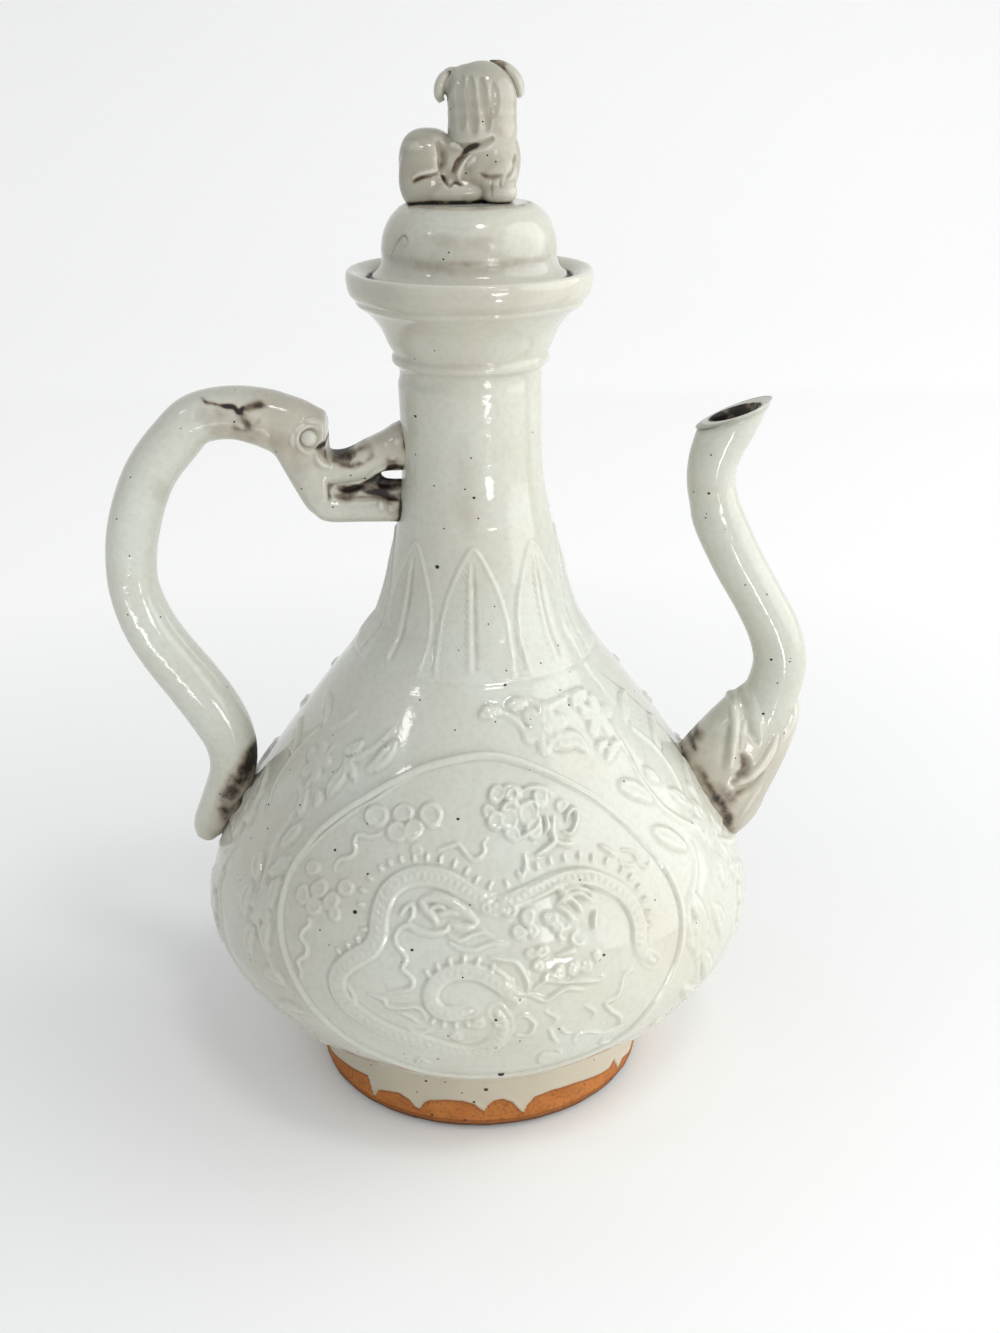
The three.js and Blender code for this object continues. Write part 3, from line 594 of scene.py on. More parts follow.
def glaze(colours):
    """Pale glaze, dipped and fired: glossy, faintly wavy, paler on proud edges (partly thin glaze,
    partly a painted highlight), greener and darker in hollows (partly pooled glaze, partly painted
    shade), with iron specks burnt through it."""
    material, tree = new_material("Glossy transparent glaze over white clay")
    place = node(tree, "ShaderNodeTexCoord").outputs["Object"]
    proud, stain, warm = (
        node(tree, "ShaderNodeAttribute", attribute_name=name).outputs["Fac"]
        for name in ("proud", "stain", "warm"))
    # Clouds 35 mm across, blotches of 4 mm and grain of 1.7 mm.
    cloudy, fine, grain = (
        node(tree, "ShaderNodeTexNoise", {"Vector": place, "Scale": 1 / across, "Detail": detail})
        for across, detail in ((0.035, 3.0), (0.004, 4.0), (0.0017, 4.0)))
    # Broad drift between the cool and the warm tint.
    drift = node(tree, "ShaderNodeMapRange", {0: cloudy, 1: 0.3, 2: 0.7, 3: -0.4, 4: 0.45})
    tint = node(tree, "ShaderNodeMath", {0: warm, 1: drift}, operation="ADD")
    warmer = node(tree, "ShaderNodeMapRange", {0: tint})
    yellow = node(tree, "ShaderNodeMapRange", {0: tint, 1: 1.0, 2: 2.0})
    mottled = node(tree, "ShaderNodeMapRange", {0: grain, 1: 0.42, 2: 0.7, 4: 0.15})
    # Proud edges are painted paler: partly thin glaze, partly a painted highlight.
    thin = node(tree, "ShaderNodeMapRange", {0: proud, 1: 0.06, 2: 0.45, 4: 0.55})
    # Hollows are painted darker: partly pooled glaze, partly painted shade.
    pool = node(tree, "ShaderNodeMapRange", {0: proud, 1: -0.04, 2: -0.4, 4: 0.85})
    # Stain, and the shade painted with it, creeps unevenly out of the hollows.
    creep = node(tree, "ShaderNodeMapRange", {0: fine, 1: 0.35, 2: 0.62, 3: 0.7, 4: 1.25})
    ragged = node(tree, "ShaderNodeMath", {0: stain, 1: creep}, operation="MULTIPLY",
                  use_clamp=True)
    # Where the stain channel is fullest it turns near black; this also paints the darkest shade.
    deep_stain_and_shade = node(tree, "ShaderNodeMapRange", {0: ragged, 1: 0.42, 2: 0.88})
    # Specks up to three quarters of a millimetre wide, where a cell's middle meets the skin.
    cells = node(tree, "ShaderNodeTexVoronoi", {"Vector": place, "Scale": 1 / 0.0052})
    chance = node(tree, "ShaderNodeSeparateColor", {0: cells.outputs["Color"]})
    radius = node(tree, "ShaderNodeMapRange", {0: chance, 1: 0.45, 4: 0.075})
    speck = node(tree, "ShaderNodeMath", {0: cells.outputs["Distance"], 1: radius},
                 operation="LESS_THAN")
    colour = colours.cool
    for share, over in ((warmer, colours.warm), (yellow, colours.yellow),
                        (mottled, colours.pool), (thin, colours.thin), (pool, colours.pool),
                        (ragged, colours.stain), (deep_stain_and_shade, colours.deep_stain_and_shade),
                        (speck, colours.speck)):
        colour = node(tree, "ShaderNodeMix", {0: share, 6: colour, 7: over},
                      data_type="RGBA").outputs[2]
    rough = node(tree, "ShaderNodeMapRange", {0: ragged, 3: 0.08, 4: 0.5})
    # Slow waves in the glaze, 11 mm long, and the faint skin of its melt.
    waves = node(tree, "ShaderNodeTexNoise", {
        "Vector": place, "Scale": 1 / 0.011, "Detail": 2.0})
    wavy = node(tree, "ShaderNodeBump", {"Height": waves, "Strength": 0.3, "Distance": 0.0007})
    skin = node(tree, "ShaderNodeBump", {
        "Height": fine, "Strength": 0.28, "Distance": 0.0003, "Normal": wavy})
    shader = node(tree, "ShaderNodeBsdfPrincipled", {
        "Base Color": colour, "Roughness": rough, "IOR": 1.5, "Normal": skin})
    node(tree, "ShaderNodeOutputMaterial", {"Surface": shader})
    return material


MATERIALS = {}


def glaze_material(context):
    """The one glaze that most pieces share."""
    if "glaze" not in MATERIALS:
        MATERIALS["glaze"] = glaze(context.scene.ewer_colours)
    return MATERIALS["glaze"]


def bare_clay(colours):
    """Iron-bearing clay left unglazed: matt, sandy, burnt orange where it met the fire."""
    material, tree = new_material("Unglazed clay burnt orange with glaze run over it")
    place = node(tree, "ShaderNodeTexCoord").outputs["Object"]
    glazed, burnt = (node(tree, "ShaderNodeAttribute", attribute_name=name).outputs["Fac"]
                     for name in ("glazed", "burnt"))
    patch = node(tree, "ShaderNodeTexNoise", {"Vector": place, "Scale": 1 / 0.012, "Detail": 5.0})
    grit = node(tree, "ShaderNodeTexNoise", {"Vector": place, "Scale": 1 / 0.0009, "Detail": 3.0})
    flame = node(tree, "ShaderNodeMapRange", {0: patch, 1: 0.35, 2: 0.68})
    sand = node(tree, "ShaderNodeMapRange", {0: grit, 1: 0.5, 2: 0.72, 4: 0.6})
    mottled = node(tree, "ShaderNodeMapRange", {0: patch, 1: 0.3, 2: 0.7, 4: 0.5})
    coat = node(tree, "ShaderNodeMix", {0: mottled, 6: colours.coat, 7: colours.coat_dark},
                data_type="RGBA").outputs[2]
    colour = colours.clay
    for share, over in ((flame, colours.flame), (sand, colours.clay_dark),
                        (burnt, colours.clay_dark), (glazed, coat)):
        colour = node(tree, "ShaderNodeMix", {0: share, 6: colour, 7: over},
                      data_type="RGBA").outputs[2]
    dull = node(tree, "ShaderNodeMapRange", {0: glazed, 3: 0.85, 4: 0.14})
    coarse = node(tree, "ShaderNodeMapRange", {0: glazed, 3: 0.7, 4: 0.05})
    sandy = node(tree, "ShaderNodeBump", {"Height": grit, "Strength": coarse, "Distance": 0.0003})
    shader = node(tree, "ShaderNodeBsdfPrincipled", {
        "Base Color": colour, "Roughness": dull, "Normal": sandy})
    node(tree, "ShaderNodeOutputMaterial", {"Surface": shader})
    return material


# The ornament's courses, in picture pixels

PANEL_EDGE = [
    (282, 911), (286, 890), (294, 869), (307, 849), (323, 829), (350, 808), (386, 786),
    (420, 769), (450, 760), (479, 755), (504, 757), (532, 766), (561, 779), (593, 797),
    (621, 820), (646, 845), (664, 869), (677, 897), (681, 926), (677, 954), (664, 985),
    (646, 1010), (621, 1033), (593, 1049), (557, 1062), (514, 1071), (468, 1073), (421, 1067),
    (379, 1052), (339, 1029), (309, 999), (290, 963), (283, 936)]
INNER_RIDGE = [(289, 892), (296, 872), (307, 855), (321, 839), (339, 824), (358, 810),
               (375, 801), (397, 786), (419, 775)]

TRUNK_FRONT = [
    (506, 911), (494, 906), (480, 899), (464, 890), (451, 882), (436, 877), (419, 876),
    (404, 880), (391, 890), (384, 903), (380, 920), (379, 935), (371, 949), (354, 959),
    (342, 970), (339, 983), (345, 998), (360, 1012), (378, 1023), (397, 1032), (421, 1038),
    (445, 1045), (469, 1049), (488, 1045), (501, 1033), (503, 1020), (496, 1010)]
TRUNK_BACK = [
    (490, 908), (510, 901), (530, 892), (547, 884), (567, 878), (584, 877), (601, 882),
    (619, 892), (631, 907), (637, 924), (638, 941), (642, 954), (652, 961)]
TRUNK_COIL = [
    (517, 1001), (506, 989), (495, 981), (480, 973), (462, 971), (445, 975), (434, 985),
    (431, 997), (436, 1007), (449, 1012), (470, 1010)]
TRUNK_WIDTH = 5.4
# The three parts of the dragon's trunk: course, width, and height and pitch of the scales.
TRUNKS = ((TRUNK_FRONT, TRUNK_WIDTH, 0.42, 2.1), (TRUNK_BACK, TRUNK_WIDTH * 0.9, 0.42, 2.1),
          (TRUNK_COIL, TRUNK_WIDTH * 0.8, 0.36, 2.0))

SPINES = [
    (371, 878), (382, 868), (391, 863), (402, 859), (415, 858), (428, 857), (441, 859),
    (455, 863), (467, 871), (477, 879), (490, 885), (506, 883), (364, 890), (362, 904),
    (365, 929), (359, 939), (349, 945), (340, 950), (518, 874), (526, 868), (536, 866),
    (549, 861), (563, 858), (578, 856), (591, 858), (605, 861), (620, 870), (629, 877),
    (637, 887), (643, 899), (647, 912), (648, 924), (428, 972), (438, 966), (450, 961),
    (464, 958), (478, 960), (492, 967), (433, 1020), (444, 1023), (456, 1024), (468, 1023)]

# Beads: course, width and share of the line height.
LINES = [
    ([(449, 935), (460, 940), (471, 935), (482, 932), (493, 936)], 1.1, 1.0),
    ([(449, 942), (460, 948), (475, 949), (490, 944), (507, 943)], 1.1, 1.0),
    ([(401, 929), (396, 936), (398, 945), (405, 954), (407, 960), (403, 968), (410, 974),
      (414, 981), (410, 988), (388, 991)], 1.2, 0.95),
    ([(370, 992), (380, 996), (386, 998), (388, 1004), (401, 1006), (414, 1005), (423, 1009),
      (428, 1021)], 1.3, 0.9),
    ([(349, 983), (355, 994), (359, 1004)], 1.2, 0.8),
    ([(382, 834), (371, 837), (360, 835), (356, 842), (357, 852), (350, 858), (343, 859),
      (337, 865), (336, 871)], 1.4, 1.0),
    ([(310, 918), (311, 924), (304, 932), (303, 938), (309, 946), (308, 954), (300, 960),
      (303, 969), (302, 978)], 1.4, 1.0),
    ([(439, 850), (451, 846), (459, 845), (469, 857), (476, 859), (484, 852), (483, 843),
      (488, 839)], 1.4, 0.9),
    ([(524, 855), (525, 866), (521, 880)], 1.5, 1.1),
    ([(556, 906), (565, 911), (569, 916), (574, 920)], 1.7, 1.2),
    ([(594, 913), (593, 921), (593, 929)], 1.9, 1.5),
    ([(575, 931), (571, 936), (571, 941), (576, 944), (583, 943)], 1.2, 1.0),
    ([(567, 927), (561, 931), (558, 936), (564, 941)], 1.2, 1.0),
    ([(556, 954), (565, 952), (574, 950)], 1.6, 1.4),
    ([(490, 957), (502, 959), (513, 961), (520, 967), (527, 981), (528, 993)], 1.3, 1.1),
    ([(489, 976), (502, 985), (515, 991), (528, 994)], 1.3, 1.1),
    ([(493, 967), (502, 973), (511, 980)], 1.3, 1.3),
    ([(532, 989), (545, 980), (562, 981), (578, 980), (599, 979), (603, 972)], 1.2, 1.0),
    ([(530, 994), (545, 999), (556, 992), (567, 987), (584, 989)], 1.3, 1.0),
    ([(630, 968), (622, 975), (619, 987), (614, 996), (604, 1001), (610, 1009), (619, 1015),
      (616, 1024), (601, 1030), (586, 1029), (574, 1034), (575, 1043)], 1.3, 0.95),
    ([(516, 1033), (528, 1033), (534, 1022), (524, 1014), (516, 1017)], 1.2, 0.9),
    ([(549, 1027), (552, 1034), (557, 1041)], 1.2, 0.9),
    ([(560, 1026), (565, 1030), (571, 1031)], 1.2, 0.9),
    ([(598, 846), (606, 850), (614, 856)], 1.5, 1.2),
    ([(620, 850), (630, 852), (635, 859), (641, 866), (646, 866), (648, 860)], 1.2, 0.9),
    ([(618, 861), (625, 865), (633, 864)], 1.1, 0.8),
    ([(417, 1060), (421, 1055), (431, 1061)], 1.3, 0.9),
    ([(539, 1061), (540, 1052), (552, 1051), (561, 1050), (556, 1047)], 1.2, 0.9),
    ([(604, 1034), (599, 1040), (610, 1038)], 1.3, 0.9),
    ([(398, 1010), (410, 1014), (420, 1022)], 1.2, 0.8),
    ([(409, 1026), (420, 1030), (432, 1028)], 1.3, 0.8),
    ([(545, 1010), (556, 1016), (552, 1022)], 1.2, 0.8),
    ([(584, 1004), (594, 1010), (590, 1018)], 1.2, 0.8),
]
# The head in side view: brow, snout, jaws, nostril, cheek and horn.
HEAD_LINES = [
    ([(423, 900), (434, 897), (448, 900), (462, 909), (476, 921)], 3.4, 1.0),
    ([(421, 902), (426, 909), (433, 916), (437, 923)], 2.4, 1.1),
    ([(398, 929), (409, 925), (419, 930), (432, 933), (445, 931), (449, 924)], 1.9, 1.1),
    ([(401, 915), (407, 907), (413, 905), (414, 914), (409, 921)], 1.5, 1.0),
    ([(440, 914), (450, 912), (460, 914)], 2.0, 1.0),
    ([(452, 923), (462, 927), (474, 926)], 2.4, 0.9),
    ([(430, 909), (438, 906), (446, 909)], 1.2, 1.35),
]
CLAW_LINES = [
    ([(532, 899), (545, 892), (560, 884), (575, 881), (588, 884), (601, 888)], 1.9, 1.25),
    ([(559, 894), (567, 889), (575, 888), (584, 890), (592, 895)], 1.6, 1.35),
    ([(561, 897), (569, 894), (579, 894), (590, 901)], 1.6, 1.35),
    ([(562, 899), (569, 899), (575, 904), (580, 911)], 1.7, 1.35),
    ([(558, 888), (564, 896), (558, 902)], 2.6, 1.2),
    ([(524, 891), (545, 881), (566, 873), (584, 872), (600, 875)], 1.7, 1.5),
]
# Lobes: place, radius and share of the cloud height.
LOBES = [
    ((379, 816), 3.5, 0.9), ((403, 813), 2.8, 0.85), ((398, 832), 3.2, 0.85),
    ((414, 830), 3.1, 0.85), ((431, 815), 3.6, 0.95),
    ((315, 868), 2.5, 0.85), ((347, 888), 2.6, 0.9), ((305, 895), 2.8, 0.85),
    ((321, 889), 3.0, 0.85), ((316, 906), 2.9, 0.85), ((333, 901), 2.8, 0.85),
    ((336, 914), 2.1, 0.8), ((496, 794), 2.6, 1.0), ((511, 793), 2.9, 1.05),
    ((495, 821), 2.7, 1.05), ((508, 820), 3.2, 1.0), ((526, 814), 3.4, 1.1),
    ((510, 808), 2.8, 1.0), ((539, 798), 2.6, 1.0), ((533, 829), 3.0, 1.1),
    ((512, 834), 2.4, 0.9), ((560, 806), 2.0, 0.8), ((488, 812), 2.0, 0.85),
    ((510, 910), 2.3, 0.95), ((527, 917), 2.4, 1.0), ((549, 918), 2.2, 1.0),
    ((556, 926), 1.8, 0.9), ((518, 932), 2.2, 0.9), ((532, 931), 1.9, 0.85),
    ((541, 951), 1.9, 1.0), ((530, 953), 1.6, 0.8), ((537, 965), 1.7, 0.9),
    ((558, 972), 2.0, 0.9), ((547, 976), 1.6, 0.85), ((595, 955), 1.5, 0.9),
    ((572, 968), 2.0, 0.8), ((585, 966), 1.8, 0.8), ((500, 1022), 1.8, 0.7),
    ((478, 1022), 2.0, 0.7), ((456, 1034), 1.7, 0.6), ((417, 850), 1.8, 0.5),
]
CLOUD_LINES = [
    ([(520, 792), (527, 789), (536, 788), (543, 790), (549, 794)], 1.8, 1.3),
    ([(518, 839), (527, 834), (535, 828), (538, 820), (531, 817)], 1.8, 1.3),
    ([(500, 812), (505, 805), (513, 804), (516, 810)], 1.2, 1.3),
    ([(522, 805), (529, 802), (535, 806), (536, 817)], 1.2, 1.35),
    ([(506, 799), (507, 792), (513, 790), (516, 794), (513, 799)], 1.1, 1.35),
    ([(552, 818), (551, 831), (553, 841), (547, 848), (536, 855)], 2.2, 1.2),
    ([(553, 841), (561, 844), (570, 844)], 1.9, 1.2),
    ([(561, 832), (568, 834), (573, 827), (575, 816), (572, 809), (566, 814), (565, 822)],
     1.6, 1.25),
    ([(544, 816), (546, 824), (545, 832)], 1.6, 1.2),
    ([(436, 808), (441, 813), (440, 822)], 1.2, 1.1),
    ([(372, 808), (368, 817), (373, 826)], 1.2, 1.05),
    ([(408, 806), (413, 812), (411, 819)], 1.2, 1.05),
]

# The flanks: leaves (course, width, veins), flowers (place, radius, petals) and stems.
LEAVES = [
    ([(366, 741), (355, 749), (344, 751)], 3.4, 3),
    ([(397, 741), (389, 752), (378, 764), (365, 769)], 4.6, 4),
    ([(344, 756), (352, 767), (357, 781)], 3.2, 3),
    ([(329, 798), (334, 786), (343, 774), (346, 762)], 5.0, 4),
    ([(301, 817), (304, 804), (309, 789)], 4.0, 3),
    ([(315, 808), (320, 798), (318, 788)], 3.4, 3),
    ([(303, 824), (294, 834), (281, 846)], 4.4, 4),
    ([(293, 857), (283, 866), (268, 874)], 5.0, 4),
    ([(262, 850), (258, 864), (259, 880)], 5.5, 4),
    ([(281, 877), (274, 892), (272, 910)], 5.0, 4),
    ([(252, 884), (246, 900), (247, 916)], 6.0, 4),
    ([(272, 922), (265, 936), (270, 952)], 5.0, 4),
    ([(255, 925), (249, 940), (254, 955)], 6.0, 4),
    ([(286, 985), (276, 975), (264, 972)], 4.6, 4),
    ([(305, 1012), (292, 1006), (279, 1003)], 4.2, 4),
    ([(478, 717), (492, 711), (504, 713)], 3.6, 3),
    ([(506, 706), (518, 704), (528, 702)], 3.4, 3),
    ([(546, 745), (560, 741), (574, 740), (589, 752)], 6.2, 5),
    ([(570, 706), (578, 697), (586, 690)], 4.6, 3),
    ([(596, 752), (601, 745), (607, 739)], 3.0, 3),
    ([(606, 763), (610, 752), (616, 745), (623, 741)], 3.4, 3),
    ([(616, 786), (626, 787), (640, 793), (653, 803)], 6.0, 5),
    ([(650, 830), (660, 834), (672, 840), (688, 849)], 6.2, 5),
    ([(643, 769), (650, 775), (660, 783)], 4.0, 3),
    ([(668, 790), (678, 797), (692, 808)], 4.6, 4),
    ([(690, 890), (696, 905), (706, 929)], 5.2, 5),
    ([(717, 855), (722, 870), (726, 888)], 6.5, 4),
    ([(713, 905), (720, 920), (721, 938)], 6.0, 4),
    ([(700, 948), (706, 962), (704, 978)], 5.2, 4),
    ([(682, 985), (692, 996), (697, 1008)], 4.6, 4),
    ([(654, 1020), (666, 1022), (680, 1018)], 4.2, 4),
]
FLOWERS = [((317, 762), 4.6, 5, 0.4), ((545, 728), 5.4, 6, 0.2), ((597, 716), 5.0, 5, 0.0),
           ((262, 905), 4.4, 5, 0.7), ((704, 822), 5.2, 5, 0.3), ((700, 938), 4.2, 5, 0.5)]
STEMS = [
    [(630, 757), (639, 777), (651, 794), (664, 809), (680, 820), (697, 829), (712, 846)],
    [(691, 844), (695, 861), (694, 882), (688, 905), (690, 930), (697, 955), (694, 985)],
    [(590, 700), (605, 722), (618, 740), (630, 757)],
    [(530, 700), (545, 706), (560, 700), (575, 690)],
    [(299, 780), (302, 790), (300, 803), (290, 820), (278, 838), (270, 860), (262, 890)],
    [(335, 745), (326, 757), (316, 772), (305, 790)],
    [(262, 890), (258, 915), (262, 940), (273, 965), (290, 990)],
    [(345, 762), (360, 756), (378, 745), (392, 730)],
    [(330, 730), (345, 722), (356, 712)],
    [(502, 712), (512, 718), (522, 728), (524, 740)],
]
# The same scrolls where the picture doesn't reach: turn in degrees and height in mm.
SIDE_LEAVES = [
    ([(72, 92), (78, 99), (84, 103)], 6.5, 4), ([(70, 76), (76, 70), (83, 68)], 6.5, 4),
    ([(66, 57), (73, 53), (79, 47)], 6.0, 4), ([(58, 45), (64, 40), (72, 37)], 5.5, 4),
    ([(70, 111), (77, 115), (84, 118)], 5.0, 4), ([(40, 32), (50, 31), (58, 34)], 5.0, 4),
    ([(74, 84), (80, 86), (86, 83)], 5.5, 4), ([(62, 122), (68, 126), (76, 128)], 4.4, 3),
]
SIDE_FLOWERS = [((78, 92), 7.0, 6, 0.0), ((76, 62), 6.4, 6, 0.4)]
SIDE_STEMS = [[(66, 88), (71, 84), (72, 74), (68, 64), (66, 54), (60, 45), (50, 37), (38, 31)],
              [(66, 96), (70, 104), (69, 113), (64, 120)], [(71, 84), (79, 78), (86, 76)]]
STEM_WIDTH, STEM_SHARE = 1.9, 0.55
# Rings turned round the top of the shoulder and round the neck: height and rise.
SHOULDER_RINGS = [(137.3, 0.3), (138.8, 0.3)]
NECK_RINGS = [(140.6, 0.3), (142.0, 0.22), (181.5, 0.08)]


class Turning:
    """The (radius, height) outline of a turned form, from the bottom up, and places on it."""

    def __init__(self, course):
        self.course = np.asarray(course, float)
        self.runs = np.concatenate(
            [[0], np.cumsum(np.hypot(*np.diff(self.course, axis=0).T))])
        self.out = square_to(self.course)

    def radius_at(self, height):
        return np.interp(height, *self.course.T[::-1])

    def beyond(self, points):
        """How far points lie outside the outline, level with them."""
        _, radius, height = about_axis(points)
        return radius - self.radius_at(height)

    def run_at(self, height):
        return np.interp(height, self.course[:, 1], self.runs)

    def locate(self, pixels):
        """Turn about the axis and run along the outline, for picture pixels."""
        found = on_vessel(pixels, self.course)
        return np.column_stack([found[:, 0], self.run_at(found[:, 1])])

    def locate_turned(self, places):
        """The same for places given in degrees and millimetres of height."""
        places = np.asarray(places, float)
        return np.column_stack([np.radians(places[:, 0]), self.run_at(places[:, 1])])

    def surface(self, turn, run, rise):
        """Points on the outline, raised square to it."""
        radius, height = (np.interp(run, self.runs, column) for column in self.course.T)
        out, up = (np.interp(run, self.runs, column) for column in self.out.T)
        radius = radius + out * rise
        return np.column_stack([AXIS + radius * np.sin(turn), -radius * np.cos(turn),
                                height + up * rise])

    def relief(self, turn, run):
        radius = np.interp(run, self.runs, self.course[:, 0])
        return Relief(turn, run, radius, self.locate)


def measures(context):
    """The user's sizes and relief heights in mm, and the outline of foot, body and neck."""
    sizes, heights = in_mm(context.scene.ewer_sizes), in_mm(context.scene.ewer_relief)
    course = np.vstack([[(FOOT_RADIUS, 0), (FOOT_RADIUS, FOOT_TOP - 0.1)],
                        body_course(sizes), neck_course(sizes)[1:]])
    return sizes, heights, Turning(course)


def inside(course, x, y):
    """Which points lie inside a closed course."""
    crossings = np.zeros(len(x), bool)
    for (ax, ay), (bx, by) in zip(course, np.roll(course, -1, axis=0)):
        if ay != by:
            hit = ((ay > y) != (by > y)) & (x < (bx - ax) * (y - ay) / (by - ay) + ax)
            crossings ^= hit
    return crossings


def eased(value):
    """A share between 0 and 1 with soft ends."""
    value = np.clip(value, 0, 1)
    return value * value * (3 - 2 * value)


def edge_distance(relief, edge, limit=12.0):
    """Distance to the panel's edge, negative inside it, up to a limit in mm."""
    which, gap, *_ = relief.near(edge, limit)
    distance = np.full(len(relief.across), limit)
    distance[which] = np.minimum(gap, limit)
    return np.where(inside(edge, relief.across, relief.along), -distance, distance)


def half_outline(sizes, rows):
    """The closed section of the body's wall, the outside first."""
    outside = even(body_course(sizes), rows)
    within = pushed(even(outside, 13), -sizes.wall)[1:-1]
    # The floor's hole is 4 mm narrower than the foot's, so the base disc has a seat.
    floor = FOOT_RADIUS - FOOT_WALL - 4
    return np.vstack([
        outside, [(sizes.shoulder_radius - sizes.wall, SHOULDER)], within[::-1][:-1],
        [(floor, FOOT_TOP + sizes.wall), (floor, FOOT_TOP)]])


def flank_relief(vessel, relief, heights):
    """Leaves, flowers and stems round the panel and over the unseen sides."""
    leaf = heights.leaf
    for course in STEMS:
        relief.stroke(course, STEM_WIDTH, leaf * STEM_SHARE, ends=(0.6, 0.6))
    for course, width, veins in LEAVES:
        relief.leaf(course, width, leaf, veins)
    for place, radius, petals, turn in FLOWERS:
        relief.flower(place, radius, petals, leaf * 0.72, turn)
    relief.locate = vessel.locate_turned
    for side in (-1, 1):
        for course in SIDE_STEMS:
            relief.stroke([(side * t, z) for t, z in course], STEM_WIDTH, leaf * STEM_SHARE)
        for course, width, veins in SIDE_LEAVES:
            relief.leaf([(side * t, z) for t, z in course], width, leaf, veins)
        for (t, z), radius, petals, turn in SIDE_FLOWERS:
            relief.flower((side * t, z), radius, petals, leaf, turn)
    for height, rise in SHOULDER_RINGS:
        relief.stroke([(turn, height) for turn in (-95, -40, 40, 95)], 0.9, rise, ends=(1, 1))
    relief.locate = vessel.locate


def panel_relief(vessel, relief, heights):
    """The dragon among clouds, and the ridge round it."""
    for course, width, _, _ in TRUNKS:
        relief.stroke(course, width, heights.trunk, ends=(0.5, 0.35), crown=0.4, cap=0.12)
    trunk = np.vstack([relief.course(course) for course, *_ in TRUNKS])
    # Each spine stands on the trunk's edge and points away from its middle.
    for spine in relief.locate(SPINES):
        reach = float(np.interp(spine[1], vessel.runs, vessel.course[:, 0]))
        gaps = (trunk - spine) * (reach, 1)
        nearest = np.argmin((gaps ** 2).sum(1))
        away = -gaps[nearest] / max(np.hypot(*gaps[nearest]), 0.5)
        tip = spine + away / (reach, 1) * 1.1
        root = spine - away / (reach, 1) * 0.7
        relief.bead(np.array([root, spine, tip]), 1.25, heights.line * 1.1, ends=(1, 0.2))
    for place, radius, share in LOBES:
        relief.button(place, radius, heights.cloud * share)
    relief.strokes(CLOUD_LINES, heights.cloud)
    relief.strokes(LINES, heights.line, ends=(0.7, 0.4))
    relief.strokes(HEAD_LINES, heights.trunk, ends=(0.6, 0.5))
    relief.strokes(CLAW_LINES, heights.line * 1.2, ends=(0.7, 0.4))
    relief.stroke(INNER_RIDGE, 1.1, 0.55, ends=(0.3, 0.3))
    for course, width, rise, pitch in TRUNKS:
        relief.scales(course, width, rise, pitch)


PANEL_MARGIN = 1.9      # how far the panel's skin runs on under the ridge's outer foot
PANEL_BACK = -1.0       # depth of the panel's inner face
COARSE_CELLS = (84, 80)
FINE_PER_COARSE = 4


